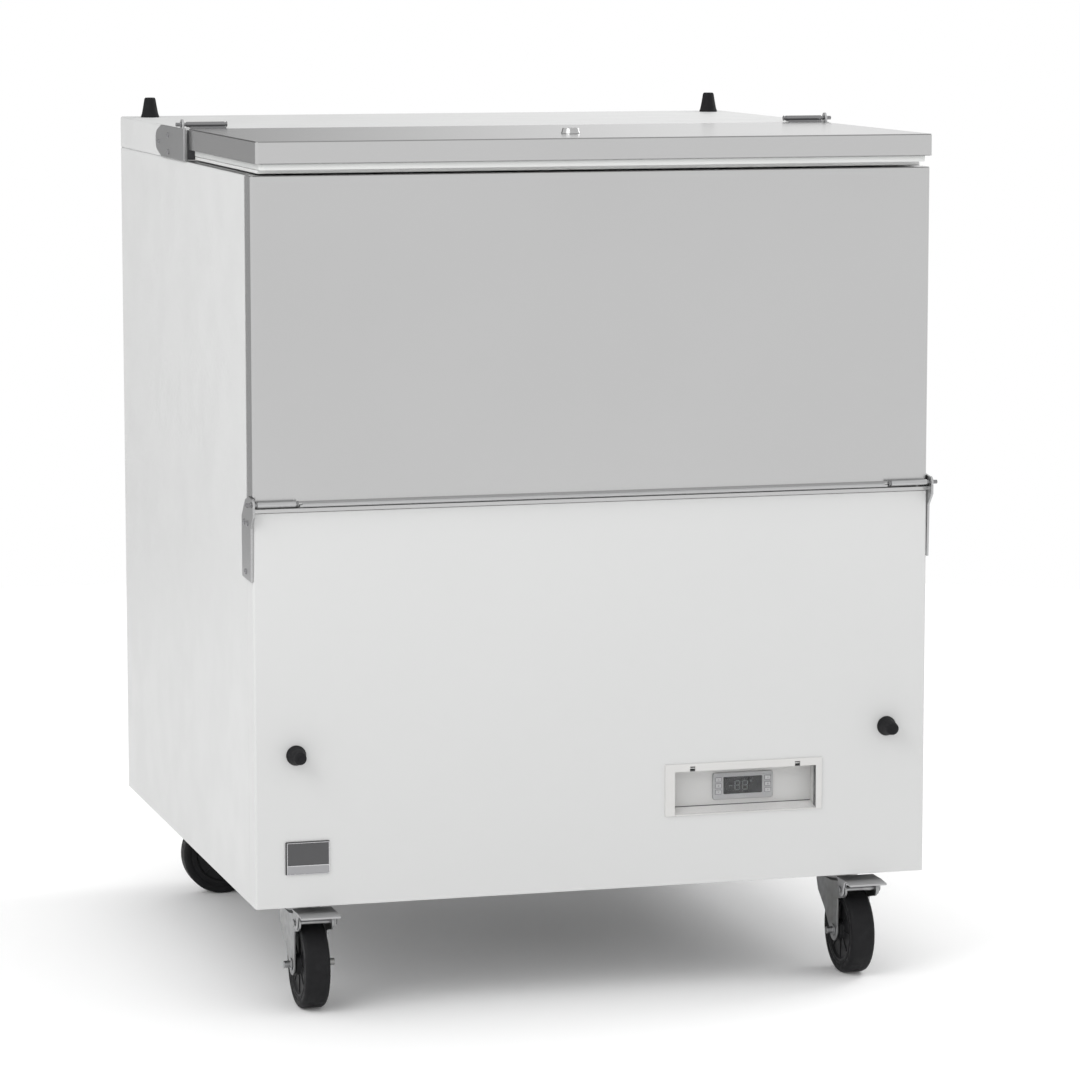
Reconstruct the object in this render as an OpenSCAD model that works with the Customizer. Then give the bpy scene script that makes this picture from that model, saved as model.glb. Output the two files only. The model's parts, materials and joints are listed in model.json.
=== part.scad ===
// Drop-front chest cooler on casters: a flip-up lid, a drop-down front door, an
// insulated tank chilled through its walls, and a compressor bay under the tank.
// Units are millimetres. Every sub-part is drawn in the cabinet's own frame, where x is 0 on
// the centre plane, y is 0 at the front face and z is 0 at the underside. place() then
// stands the cooler on the floor, with the origin under the centre of its bounding box.

/* [Cabinet] */
// Width over the side panels
cabinet_w = 876; // [820:1:900]
// Depth from the front face to the rear face
cabinet_d = 850; // [840:1:880]
// Height of the tank's rim above the underside
rim_h = 903; // [880:1:920]
// Thickness of the lid, and of the fixed ledge behind it
lid_h = 42; // [40:1:46]
// Height of the underside above the floor
floor_gap = 140; // [140:1:140]
// Thickness of the outer sheets
sheet = 1.5; // [1:0.1:1.5]
// Depth of the lid opening, from the front face to the ledge
ledge_y = 397; // [390:1:410]

/* [Drop door] */
// Height of the door's bottom edge above the underside
door_z = 504; // [490:1:520]
// Depth of the door's side flanges
door_d = 34.4; // [33:0.1:34.4]
// How far the hinge line stands in front of the door
door_axis_out = 8; // [6:0.5:9]

/* [Lid] */
// How far the lid overhangs the front face
lid_overhang = 16; // [10:1:18]
// Gap between the lid's side and the cabinet's side
lid_inset = 4; // [3:0.5:6]
// Height of the lid's steel skin
lid_skin_h = 27.4; // [24:0.2:28]

/* [Hinges] */
// Diameter of the hinge pins
pin_d = 5; // [4:0.5:5]
// Outer diameter of the knuckle tubes
knuckle_d = 7; // [7:0.5:8]
// Length of a knuckle tube
knuckle_l = 50; // [40:1:55]
// Radial clearance of anything that turns on a pin
running = 0.05; // [0.03:0.01:0.08]
// Thickness of the hinge brackets
bracket_t = 3; // [2.5:0.5:3]

/* [Controller] */
// Width of the bezel
bezel_w = 209; // [200:1:220]
// Height of the bezel
bezel_h = 66.4; // [64:0.2:70]
// Depth of the recess behind the bezel
recess_d = 20; // [18:1:20]
// How far a key travels
key_travel = 0.6; // [0.4:0.1:0.8]

/* [Casters] */
// Diameter of the wheels
wheel_d = 112; // [112:1:112]
// Width of the wheels' tread
wheel_w = 32; // [28:1:32]
// Distance from a caster's swivel line to its axle
trail = 35; // [32:1:36]

/* [Tank] */
// Thickness of the insulated side walls
wall = 57; // [52:1:60]
// Height of the tank's floor above the underside
tank_z = 300; // [290:1:310]
// Height of the tank's front wall above the underside
tank_front_z = 525; // [522:1:530]

/* [Hidden] */
$fn = 64;
eps = 1;

// Cabinet
side_x = cabinet_w / 2;
inner_x = side_x - sheet;
seam_y = 35.4;
top_z = rim_h + lid_h;
flange_w = 14;
bend_r = 3;
pan_t = 2;
pan_h = 30;
cut = 3;

// Bumpers
bumper_l = 27;
bumper_base_r = 12.5;
bumper_tip_r = 7.5;
bumper_stud_r = 3;
bumper_hole_r = 3.2;
front_bumper_x = 386;
front_bumper_z = 191;
top_bumper_x = 405;
top_bumper_y = 805;

// The whole cooler's depth runs from the front bumpers' tips to the rear face
front_y = -(cabinet_d - bumper_l) / 2;

// Tank
tank_x = side_x - wall;
tank_y0 = wall;
tank_y1 = cabinet_d - 50;
liner_t = 1.5;
coil_gap = 10;
bay_h = 250;
trim_z = rim_h - sheet;
sill_t = 1.5;
sill_z = 495.8;
panel_top = 492;
rim_lip = 32;

// Door
door_x = side_x - 0.6;
door_t = 1.2;
door_top = rim_h;
door_top_d = 31;
door_back = 31;
door_r = 4;
plug_x = tank_x - 7;
plug_z0 = tank_front_z + 6;
plug_z1 = rim_h - 10;
plug_y = 52;
door_axis = [0, -door_axis_out, door_z];

// Lid
lid_x = side_x - lid_inset;
lid_y1 = ledge_y - 5;
lid_z0 = top_z - lid_skin_h;
lid_t = 1.2;
lid_r = 4;
pan_inset = 6;
pan_r = 6;
pan_wall = 1.5;
pan_z = lid_z0 - 7.6;
gasket_z = pan_z - 5.4;
gasket_w = 12;
gasket_x = side_x - 14;
gasket_y0 = 13;
gasket_y1 = lid_y1 - 8;
lid_axis = [0, ledge_y + 8, top_z + 5];

// Hinge hardware
pin_r = pin_d / 2;
knuckle_r = knuckle_d / 2;
pin_end = side_x + 10;
lid_knuckle_x = side_x - 54;
door_knuckle_x = side_x - 52;
screw_r = 2;
screw_hole_r = 2.2;
screw_head_r = 4;
screw_head_h = 2;
lid_screws = [[558, 922], [493, 933], [493, 911]];
door_screws = [[35, 479], [16, 479], [28, 418]];

// Lock
lock_y = 118;
lock_r = 9;
lock_plug_r = 6;
cam_z = 876;
cam_t = 3;
cam_l = 50;
strike_z = 882;
strike_l = 26;

// Controller
bezel_x = 90;
bezel_z = 88.6;
bezel_t = 2;
open_x0 = bezel_x + 12.5;
open_x1 = bezel_x + bezel_w - 8.3;
open_z0 = bezel_z + 0.7;
open_z1 = bezel_z + bezel_h - 9.8;
ramp_rise = 7;
recess_wall = 4;
fit_gap = 0.2;
slot_w = 7;
slot_d = 4;
slot_x = [126, 266];
slot_top = open_z1 + 6.8;
flap_axis_y = 0.5;
flap_axis_z = open_z1 + 3.8;
flap_pin_r = 1;
flap_knuckle_r = 2;
ctrl_x0 = 159;
ctrl_w = 80.5;
ctrl_z0 = 103;
ctrl_h = 34.5;
ctrl_proud = 3;
ctrl_back_d = 40;
ctrl_edge_x = 4;
ctrl_edge_z = 3;
face_y = recess_d - ctrl_proud;
display_t = 1.5;
display_x0 = 173;
display_w = 52;
display_z0 = 110;
display_h = 22;
key_w = 7.6;
key_h = 5;
key_gap = 0.3;
key_depth = 2.2;
key_x = [166.3, 232.3];
key_z = [129, 121, 113];

// Badge
badge_x = -400.5;
badge_z = 41;
badge_w = 55.8;
badge_h = 42;
badge_t = 2;

// Casters
wheel_r = wheel_d / 2;
axle_z = wheel_r - floor_gap;
caster_x = 359;
caster_front_y = 91;
caster_rear_y = 759;
plate_t = 4;
plate_x = 47.5;
plate_y = 35;
bolt_x = 37;
bolt_y = 25;
bolt_r = 4;
bolt_hole_r = 4.2;
nut_r = 7;
kingpin_r = 6;
crown_z = -24;
crown_t = 3.5;
race_z = -12.5;
race_r = 24;
race_gap = 0.5;
leg_x = 19.5;
leg_t = 3;
axle_r = 6;
snug = 0.02;
brake_u = -69;
brake_z = -24;
brake_r = 11;
brake_pin_r = 3;
CASTERS = [
    [-caster_x, caster_front_y, 0],
    [caster_x, caster_front_y, 0],
    [-caster_x, caster_rear_y, 90],
    [caster_x, caster_rear_y, -90]
];

// Drain
drain_y = 150;
drain_r = 12.5;
drain_bore_r = 9;
spigot_r = 11.5;
spigot_l = 12;
drain_lip_r = 20;
drain_lip_t = 2;

// Refrigeration
tube_r = 4;
coil_x = tank_x + liner_t + tube_r + 0.2;
coil_yb = tank_y1 + liner_t + tube_r + 0.2;
coil_yf = tank_y0 + 20;
coil_z0 = tank_z + 40;
coil_pitch = 90;
coil_rows = 6;
coil_mid_x = 20;
port_x = 150;
port_z = 262;
comp_x = -170;
comp_y = 600;
comp_r = 76;
comp_z = 24;
comp_h = 165;
cond_x = 50;
cond_w = 260;
cond_y = 700;
cond_d = 50;
cond_z = 20;
cond_h = 190;
cond_rows = 4;
cond_end = 6;
fan_x = cond_x + cond_w / 2;
fan_z = cond_z + cond_h / 2;
fan_r = 80;
fan_shaft_r = 4;
shroud_y = cond_y - 24;
feet_z = 2;
grille_x0 = -340;
grille_w = 680;
grille_z0 = 40;
grille_h = 170;
grille_rim = 9;
gland_x = -390;
gland_z = 60;
gland_r = 9;
gland_l = 12;
gland_bore_r = 4.5;

// ---------- shared shapes ----------

// Stands what is drawn in the cabinet's frame on the floor
module place() {
    translate([0, front_y, floor_gap]) children();
}

// A box given by its low and high corners
module box(low, high) {
    translate(low) cube(high - low);
}

// A rectangle from low to high with all four corners rounded
module round_rect(low, high, r) {
    translate([low.x + r, low.y]) square([high.x - low.x - 2 * r, high.y - low.y]);
    translate([low.x, low.y + r]) square([high.x - low.x, high.y - low.y - 2 * r]);
    for (x = [low.x + r, high.x - r], y = [low.y + r, high.y - r])
        translate([x, y]) circle(r);
}

// A rectangle whose two corners at the low y are rounded
module front_rounded(low, high, r) {
    round_rect(low, high, r);
    translate([low.x, low.y + r]) square([high.x - low.x, high.y - low.y - r]);
}

// Extrudes a (y, z) drawing from x0 to x1
module along_x(x0, x1) {
    translate([x0, 0, 0]) rotate([90, 0, 90]) linear_extrude(x1 - x0) children();
}

// Extrudes a (x, z) drawing from y0 back to y1
module along_y(y0, y1) {
    translate([0, y1, 0]) rotate([90, 0, 0]) linear_extrude(y1 - y0) children();
}

// A cylinder along x at (y, z)
module rod_x(x0, x1, y, z, r) {
    translate([x0, y, z]) rotate([0, 90, 0]) cylinder(h = x1 - x0, r = r);
}

// A cylinder along y at (x, z)
module rod_y(y0, y1, x, z, r) {
    translate([x, y0, z]) rotate([-90, 0, 0]) cylinder(h = y1 - y0, r = r);
}

// The children and their mirror image on the other side of the centre plane
module both_sides() {
    children();
    mirror([1, 0, 0]) children();
}

// A round tube's outside along a list of points, with ball corners
module pipe(points, r) {
    for (i = [0 : len(points) - 2]) {
        step = points[i + 1] - points[i];
        turn = atan2(step.y, step.x);
        lean = acos(step.z / norm(step));
        translate(points[i]) rotate([0, lean, turn]) cylinder(h = norm(step), r = r, $fn = 24);
    }
    for (i = [1 : 1 : len(points) - 2])
        translate(points[i]) sphere(r = r, $fn = 24);
}

// Holes for the hinge brackets' screws, on both sides
module screw_holes(points, x0, x1) {
    both_sides()
        for (p = points)
            rod_x(x0, x1, p.x, p.y, screw_hole_r);
}

// ---------- cabinet shell ----------

module base_pan() {
    y1 = cabinet_d - sheet;
    vent_w = 10;
    vent_pitch = 24;
    vents = 11;
    vent_x = -60;
    vent_y = [300, 420];
    color("silver") place() difference() {
        box([-inner_x, bend_r, 0], [inner_x, y1, pan_h]);
        box([-inner_x + pan_t, bend_r + pan_t, pan_t], [inner_x - pan_t, y1 - pan_t, pan_h + eps]);
        for (c = CASTERS)
            translate([c.x, c.y, 0]) caster_bolt_places() cylinder(h = 8, r = bolt_hole_r, center = true);
        translate([0, drain_y, 0]) cylinder(h = 8, r = drain_r, center = true);
        for (i = [0 : vents - 1]) {
            x = vent_x + i * vent_pitch;
            box([x, vent_y[0], -eps], [x + vent_w, vent_y[1], pan_t + eps]);
        }
    }
}

module side_panel() {
    inner_r = bend_r - sheet;
    below = rim_h - flange_w;
    color("white") difference() {
        union() {
            box([inner_x, seam_y, 0], [side_x, cabinet_d, rim_h - bend_r]);
            along_y(seam_y, cabinet_d) difference() {
                round_rect([side_x - flange_w, below], [side_x, rim_h], bend_r);
                round_rect([side_x - 2 * flange_w, below - flange_w], [inner_x, rim_h - sheet], inner_r);
                square([4 * side_x, 2 * (rim_h - bend_r)], center = true);
            }
        }
        for (p = door_screws)
            rod_x(inner_x - eps, side_x + eps, p.x, p.y, screw_hole_r);
    }
}

module side_panel_left() {
    place() mirror([1, 0, 0]) side_panel();
}

module side_panel_right() {
    place() side_panel();
}

module front_panel() {
    seam_gap = 0.4;
    color("white") place() difference() {
        linear_extrude(panel_top) difference() {
            front_rounded([-side_x, 0], [side_x, seam_y - seam_gap], bend_r);
            front_rounded([-inner_x, sheet], [inner_x, seam_y + eps], bend_r - sheet);
        }
        box([open_x0 - recess_wall, -eps, open_z0], [open_x1 + recess_wall, cut, slot_top]);
        for (x = [-front_bumper_x, front_bumper_x])
            rod_y(-eps, cut, x, front_bumper_z, bumper_hole_r);
        screw_holes(door_screws, inner_x - eps, side_x + eps);
    }
}

module rear_panel() {
    color("white") place() difference() {
        box([-inner_x, cabinet_d - sheet, 0], [inner_x, cabinet_d, rim_h]);
        box([grille_x0, cabinet_d - cut, grille_z0],
            [grille_x0 + grille_w, cabinet_d + eps, grille_z0 + grille_h]);
        rod_y(cabinet_d - cut, cabinet_d + eps, gland_x, gland_z, gland_r);
        both_sides()
            box([side_x - flange_w, cabinet_d - cut, rim_h - bend_r], [side_x, cabinet_d + eps, rim_h + eps]);
    }
}

module rear_grille() {
    rows = 9;
    columns = 4;
    bar_x = 20;
    bar_z = 9;
    pitch_x = grille_w / columns;
    pitch_z = grille_h / rows;
    x1 = grille_x0 + grille_w;
    z1 = grille_z0 + grille_h;
    color("lightgray") place() difference() {
        union() {
            box([grille_x0 - grille_rim, cabinet_d - 2 * sheet, grille_z0 - grille_rim],
                [x1 + grille_rim, cabinet_d - sheet, z1 + grille_rim]);
            box([grille_x0, cabinet_d - sheet, grille_z0], [x1, cabinet_d, z1]);
        }
        for (i = [0 : columns - 1], j = [0 : rows - 1])
            translate([grille_x0 + (i + 0.5) * pitch_x, cabinet_d, grille_z0 + (j + 0.5) * pitch_z])
                cube([pitch_x - bar_x, 4 * cut, pitch_z - bar_z], center = true);
    }
}

module rear_ledge() {
    below = rim_h - lid_h;
    color("white") place() difference() {
        along_y(ledge_y, cabinet_d) difference() {
            round_rect([-side_x, below], [side_x, top_z], bend_r);
            translate([-side_x, below]) square([cabinet_w, lid_h]);
        }
        box([-inner_x, ledge_y + sheet, rim_h - eps], [inner_x, cabinet_d - sheet, top_z - sheet - bend_r]);
        along_y(ledge_y + sheet, cabinet_d - sheet)
            round_rect([-inner_x, below], [inner_x, top_z - sheet], bend_r - sheet);
        screw_holes(lid_screws, inner_x - eps, side_x + eps);
        for (x = [-top_bumper_x, top_bumper_x])
            translate([x, top_bumper_y, top_z]) cylinder(h = 8, r = bumper_hole_r, center = true);
    }
}

module sill_trim() {
    face_t = 1.2;
    panel_gap = 0.5;
    hook = 16;
    color("gainsboro") place() {
        box([-side_x, 0, panel_top + panel_gap], [side_x, face_t, sill_z + sill_t]);
        box([-side_x, face_t, sill_z], [side_x, seam_y, sill_z + sill_t]);
        box([-inner_x, seam_y, sill_z], [inner_x, seam_y + sill_t, tank_front_z - sill_t]);
        box([-tank_x, seam_y, tank_front_z - sill_t], [tank_x, tank_y0 + sill_t, tank_front_z]);
        box([-tank_x, tank_y0, tank_front_z - hook], [tank_x, tank_y0 + sill_t, tank_front_z - sill_t]);
    }
}

module opening_trim() {
    jamb_z = tank_front_z - sill_t;
    trim_y1 = ledge_y + 13;
    color("darkgray") place() {
        both_sides() {
            box([tank_x - 1, seam_y, trim_z], [side_x - flange_w, trim_y1, rim_h]);
            box([tank_x, seam_y, jamb_z], [inner_x, seam_y + sheet, trim_z]);
        }
        box([-tank_x, ledge_y - rim_lip, trim_z], [tank_x, trim_y1, rim_h]);
    }
}

// ---------- tank ----------

module inner_liner() {
    out_x = tank_x + liner_t;
    color("whitesmoke") place() {
        difference() {
            union() {
                box([-out_x, tank_y0 - liner_t, tank_z - liner_t], [out_x, tank_y1 + liner_t, trim_z]);
                box([-out_x, seam_y + sheet, tank_front_z - sill_t], [out_x, tank_y0, trim_z]);
            }
            box([-tank_x, tank_y0, tank_z], [tank_x, tank_y1, trim_z + eps]);
            box([-tank_x, -eps, tank_front_z - sill_t], [tank_x, tank_y0 + eps, trim_z + eps]);
            translate([0, drain_y, tank_z]) cylinder(h = 8, r = drain_r, center = true);
        }
        box([-inner_x, ledge_y + sheet, rim_h], [inner_x, cabinet_d - sheet, rim_h + liner_t]);
    }
}

module insulation() {
    gap_x = tank_x + liner_t + coil_gap;
    gap_y1 = tank_y1 + liner_t + coil_gap;
    wall_y = seam_y + sheet;
    port_w = 16;
    color("khaki") place() {
        difference() {
            union() {
                box([-inner_x + bend_r, sheet, bay_h], [inner_x - bend_r, wall_y, panel_top]);
                box([-inner_x, wall_y, bay_h], [inner_x, cabinet_d - sheet, trim_z - bend_r]);
                box([-inner_x + bend_r, wall_y, trim_z - bend_r - eps],
                    [inner_x - bend_r, cabinet_d - sheet, trim_z]);
            }
            box([-gap_x, tank_y0 - liner_t - coil_gap, tank_z], [gap_x, gap_y1, trim_z + eps]);
            box([-tank_x - liner_t, tank_y0 - liner_t, tank_z - liner_t],
                [tank_x + liner_t, tank_y1 + liner_t, tank_z + eps]);
            box([-tank_x - liner_t, -eps, tank_front_z - sill_t], [tank_x + liner_t, tank_y0, trim_z + eps]);
            for (x = [-port_x, port_x])
                box([x - port_w / 2, tank_y1 + liner_t, bay_h - eps], [x + port_w / 2, gap_y1, tank_z + eps]);
            translate([0, drain_y, bay_h]) cylinder(h = 200, r = drain_r, center = true);
        }
        box([-inner_x + bend_r, ledge_y + sheet, rim_h + liner_t],
            [inner_x - bend_r, cabinet_d - sheet, top_z - sheet - bend_r]);
    }
}

// One side's half of the coil: out along the rear and side walls, up, and back again
function half_coil(s) = [
    for (i = [0 : coil_rows - 1]) each
        let (z = coil_z0 + i * coil_pitch, c = i == 0 ? port_x : coil_mid_x)
        i % 2 == 0
            ? [[s * c, coil_yb, z], [s * coil_x, coil_yb, z], [s * coil_x, coil_yf, z]]
            : [[s * coil_x, coil_yf, z], [s * coil_x, coil_yb, z], [s * c, coil_yb, z]]
];

function reversed(list) = [for (i = [len(list) - 1 : -1 : 0]) list[i]];

module evaporator_coil() {
    inlet = [[-port_x, coil_yb, port_z]];
    outlet = [[port_x, coil_yb, port_z]];
    color("peru") place()
        pipe(concat(inlet, half_coil(-1), reversed(half_coil(1)), outlet), tube_r);
}

module drain_fitting() {
    color("lightgray") place() translate([0, drain_y, 0]) difference() {
        union() {
            translate([0, 0, -spigot_l]) cylinder(h = spigot_l + eps, r = spigot_r);
            cylinder(h = tank_z, r = drain_r);
            translate([0, 0, tank_z]) cylinder(h = drain_lip_t, r = drain_lip_r);
        }
        translate([0, 0, -spigot_l - eps]) cylinder(h = tank_z + 2 * spigot_l, r = drain_bore_r);
    }
}

module drain_plug() {
    depth = 16;
    head_z = drain_lip_t + 0.2;
    head_t = 2.5;
    head_r = 14;
    knob_r = 6;
    color("dimgray") place() translate([0, drain_y, tank_z]) {
        translate([0, 0, -depth]) cylinder(h = depth + head_z, r = drain_bore_r - running);
        translate([0, 0, head_z]) cylinder(h = head_t, r = head_r);
        translate([0, 0, head_z + head_t]) cylinder(h = knob_r, r = knob_r);
    }
}

module floor_rack() {
    wire_r = 2.5;
    foot_r = 4;
    foot_gap = 0.2;
    weld = 0.7 * 2 * wire_r;
    half = 6;
    drain_detour = 30;
    rack_x = tank_x - 9;
    rack_y0 = tank_y0 + 10;
    rack_y1 = tank_y1 - 10;
    bar_y0 = rack_y0 + 20;
    bar_y1 = rack_y1 - 20;
    deck_z = tank_z + 20;
    color("silver") place() {
        for (i = [-half : half]) {
            x = i * rack_x / half + (i == 0 ? drain_detour : 0);
            rod_y(rack_y0, rack_y1, x, deck_z, wire_r, $fn = 24);
        }
        for (y = [bar_y0, (rack_y0 + rack_y1) / 2, bar_y1])
            rod_x(-rack_x, rack_x, y, deck_z - weld, wire_r, $fn = 24);
        for (x = [-rack_x, rack_x], y = [bar_y0, bar_y1])
            translate([x, y, tank_z + foot_gap]) cylinder(h = deck_z - 3 - tank_z, r = foot_r, $fn = 24);
    }
}

// ---------- refrigeration ----------

module compressor() {
    dome = 40;
    plate = [95, 75];
    plate_z = 10;
    base_t = 3;
    foot = [82, 62];
    foot_r = 12;
    foot_hole_r = 4.2;
    rail_x = 50;
    rail_w = 16;
    rail_y = 45;
    rail_top = 50;
    box_half = 26;
    box_z = [70, 130];
    color("#222222") place() translate([comp_x, comp_y, 0]) {
        translate([0, 0, comp_z]) rotate_extrude() intersection() {
            round_rect([-comp_r, 0], [comp_r, comp_h], dome);
            square([comp_r, comp_h]);
        }
        difference() {
            box([-plate.x, -plate.y, plate_z], [plate.x, plate.y, plate_z + base_t]);
            for (x = [-foot.x, foot.x], y = [-foot.y, foot.y])
                translate([x, y, plate_z]) cylinder(h = 3 * base_t, r = foot_hole_r, center = true);
        }
        for (x = [-rail_x, rail_x])
            box([x - rail_w / 2, -rail_y, plate_z + base_t], [x + rail_w / 2, rail_y, rail_top]);
        for (x = [-foot.x, foot.x], y = [-foot.y, foot.y])
            translate([x, y, feet_z]) cylinder(h = plate_z - feet_z, r = foot_r);
        box([comp_r - 12, -box_half, box_z[0]], [comp_r + 22, box_half, box_z[1]]);
    }
}

// Height of the condenser's tube in row j
function tube_row(j) = cond_z + (j + 0.5) * cond_h / cond_rows;

module condenser() {
    fins = 26;
    fin_t = 0.8;
    edge = 10;
    side_t = 2;
    tube_in = 14;
    pitch = (cond_w - 2 * edge) / (fins - 1);
    color("dimgray") place() {
        for (x = [cond_x, cond_x + cond_w - side_t])
            box([x, cond_y, feet_z], [x + side_t, cond_y + cond_d, cond_z + cond_h]);
        for (i = [0 : fins - 1])
            box([cond_x + edge + i * pitch - fin_t / 2, cond_y + 3, cond_z],
                [cond_x + edge + i * pitch + fin_t / 2, cond_y + cond_d - 3, cond_z + cond_h]);
        for (j = [0 : cond_rows - 1], y = [cond_y + tube_in, cond_y + cond_d - tube_in])
            rod_x(cond_x - cond_end, cond_x + cond_w + cond_end, y, tube_row(j), 4.5, $fn = 24);
    }
}

module fan_motor() {
    shroud_t = 2;
    tip_gap = 5;
    arm_w = 8;
    arm_y = shroud_y - 34;
    motor_r = 34;
    motor_y = [shroud_y - 80, shroud_y - 22];
    post = [fan_r + 8, fan_r + 16];
    x1 = cond_x + cond_w;
    z1 = cond_z + cond_h;
    color("gray") place() {
        difference() {
            box([cond_x, shroud_y, feet_z], [x1, cond_y, z1]);
            box([cond_x + shroud_t, shroud_y + shroud_t, cond_z],
                [x1 - shroud_t, cond_y + eps, z1 - shroud_t]);
            rod_y(shroud_y - eps, shroud_y + 4 * shroud_t, fan_x, fan_z, fan_r + tip_gap);
        }
        for (a = [45 : 90 : 315])
            translate([fan_x, 0, fan_z]) rotate([0, a, 0]) {
                box([20, arm_y - arm_w / 2, -arm_w / 2], [post[1] - 2, arm_y + arm_w / 2, arm_w / 2]);
                box([post[0], arm_y - arm_w / 2, -arm_w / 2], [post[1], shroud_y, arm_w / 2]);
            }
        rod_y(motor_y[0], motor_y[1], fan_x, fan_z, motor_r);
        rod_y(motor_y[1], shroud_y, fan_x, fan_z, fan_shaft_r);
    }
}

module fan_blade() {
    blades = 5;
    hub_r = 16;
    blade = [64, 2.4, 26];
    pitch_angle = 30;
    mid_r = 46;
    color("black") place() translate([fan_x, shroud_y, fan_z]) difference() {
        union() {
            rod_y(-20, -4, 0, 0, hub_r);
            for (i = [0 : blades - 1])
                rotate([0, i * 360 / blades, 0]) translate([mid_r, -12, 0]) rotate([pitch_angle, 0, 0])
                    cube(blade, center = true);
        }
        rod_y(-40, 10, 0, 0, fan_shaft_r + running);
    }
}

module refrigerant_lines() {
    r = 3.5;
    discharge_z = 205;
    suction_z = 230;
    loop_z = 225;
    drop_x = 30;
    drier_x = 5;
    drier_r = 9;
    drier_z = [130, 190];
    tube_y = cond_y + 14;
    end_x = cond_x - cond_end;
    shell_z = comp_z + comp_h;
    suction_x = comp_x - 40;
    color("peru") place() {
        pipe([[comp_x, comp_y, shell_z], [comp_x, comp_y, discharge_z], [drop_x, comp_y, discharge_z],
              [drop_x, tube_y, discharge_z], [drop_x, tube_y, tube_row(3)], [end_x, tube_y, tube_row(3)]], r);
        pipe([[end_x, tube_y, tube_row(0)], [drier_x, tube_y, tube_row(0)],
              [drier_x, tube_y, drier_z[0]]], r);
        translate([drier_x, tube_y, drier_z[0]]) cylinder(h = drier_z[1] - drier_z[0], r = drier_r);
        pipe([[drier_x, tube_y, drier_z[1]], [drier_x, tube_y, loop_z], [drier_x, coil_yb, loop_z],
              [port_x, coil_yb, loop_z], [port_x, coil_yb, port_z]], r);
        pipe([[-port_x, coil_yb, port_z], [-port_x, coil_yb, suction_z], [suction_x, coil_yb, suction_z],
              [suction_x, comp_y, suction_z], [suction_x, comp_y, shell_z]], r);
    }
}

module cable_gland() {
    color("black") place() difference() {
        union() {
            rod_y(cabinet_d - gland_l, cabinet_d, gland_x, gland_z, gland_r);
            rod_y(cabinet_d - gland_l / 2, cabinet_d - sheet, gland_x, gland_z, gland_r + 4);
        }
        rod_y(cabinet_d - 2 * gland_l, cabinet_d + eps, gland_x, gland_z, gland_bore_r);
    }
}

// ---------- outside fittings ----------

// A tapered rubber stop that stands on z = 0, with its stud below
module bumper() {
    cylinder(h = bumper_l, r1 = bumper_base_r, r2 = bumper_tip_r);
    translate([0, 0, -sheet]) cylinder(h = sheet + eps, r = bumper_stud_r);
}

module rubber_bumpers() {
    color("#222222") place() {
        for (x = [-front_bumper_x, front_bumper_x])
            translate([x, 0, front_bumper_z]) rotate([90, 0, 0]) bumper();
        for (x = [-top_bumper_x, top_bumper_x])
            translate([x, top_bumper_y, top_z]) bumper();
    }
}

module badge_plate() {
    rim = 1.6;
    x0 = badge_x + rim;
    x1 = badge_x + badge_w - rim;
    split_z = badge_z + 11;
    color("gray") place() difference() {
        box([badge_x, -badge_t, badge_z], [badge_x + badge_w, 0, badge_z + badge_h]);
        box([x0, -badge_t - eps, split_z + rim], [x1, -badge_t + 0.8, badge_z + badge_h - rim]);
        box([x0, -badge_t - eps, badge_z + rim], [x1, -badge_t + 0.5, split_z]);
    }
}

module lid_hinge_brackets() {
    ear_r = knuckle_r + 3.5;
    y0 = lid_axis.y - 15;
    y1 = y0 + 190;
    z0 = rim_h + 0.5;
    nose = 38;
    nose_h = 10;
    color("silver") place() both_sides() along_x(side_x, side_x + bracket_t) difference() {
        union() {
            polygon([[y0, z0], [y1 - nose, z0], [y1, z0 + nose_h], [y1, top_z - nose_h],
                     [y1 - nose, top_z], [y0, top_z]]);
            translate([lid_axis.y, lid_axis.z]) circle(ear_r);
            translate([lid_axis.y - ear_r, lid_axis.z - 2 * ear_r]) square([2 * ear_r, 2 * ear_r]);
        }
        translate([lid_axis.y, lid_axis.z]) circle(pin_r);
        for (p = lid_screws)
            translate(p) circle(screw_hole_r);
    }
}

module door_hinge_brackets() {
    ear_r = knuckle_r + 3.8;
    color("silver") place() both_sides() along_x(side_x, side_x + bracket_t) difference() {
        union() {
            polygon([[50, 410], [51, 485], [30, 507], [12, 513], [-6, 511], [-15, 500], [-15, 489],
                     [-2, 474], [0, 408]]);
            translate([door_axis.y, door_axis.z]) circle(ear_r);
        }
        translate([door_axis.y, door_axis.z]) circle(pin_r);
        for (p = door_screws)
            translate(p) circle(screw_hole_r);
    }
}

module hinge_pins() {
    head_t = 1.5;
    head_gap = 2;
    collar_t = 1.2;
    out_x = side_x + bracket_t;
    color("silver") place() both_sides() {
        for (a = [[lid_axis, lid_knuckle_x], [door_axis, door_knuckle_x]]) {
            rod_x(a[1] - head_gap, pin_end, a[0].y, a[0].z, pin_r);
            rod_x(a[1] - head_gap - head_t, a[1] - head_gap, a[0].y, a[0].z, pin_r + 1);
            rod_x(out_x, out_x + collar_t, a[0].y, a[0].z, pin_r + 1.2);
        }
    }
}

// Repeats its children at the four bolts of a caster plate
module caster_bolt_places() {
    for (x = [-bolt_x, bolt_x], y = [-bolt_y, bolt_y])
        translate([x, y, 0]) children();
}

module caster_bolt() {
    head_h = 5;
    nut_h = 6;
    translate([0, 0, -plate_t]) cylinder(h = plate_t + pan_t + nut_h + 2, r = bolt_r);
    translate([0, 0, -plate_t - head_h]) cylinder(h = head_h, r = nut_r, $fn = 6);
    translate([0, 0, pan_t]) cylinder(h = nut_h, r = nut_r, $fn = 6);
}

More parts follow.
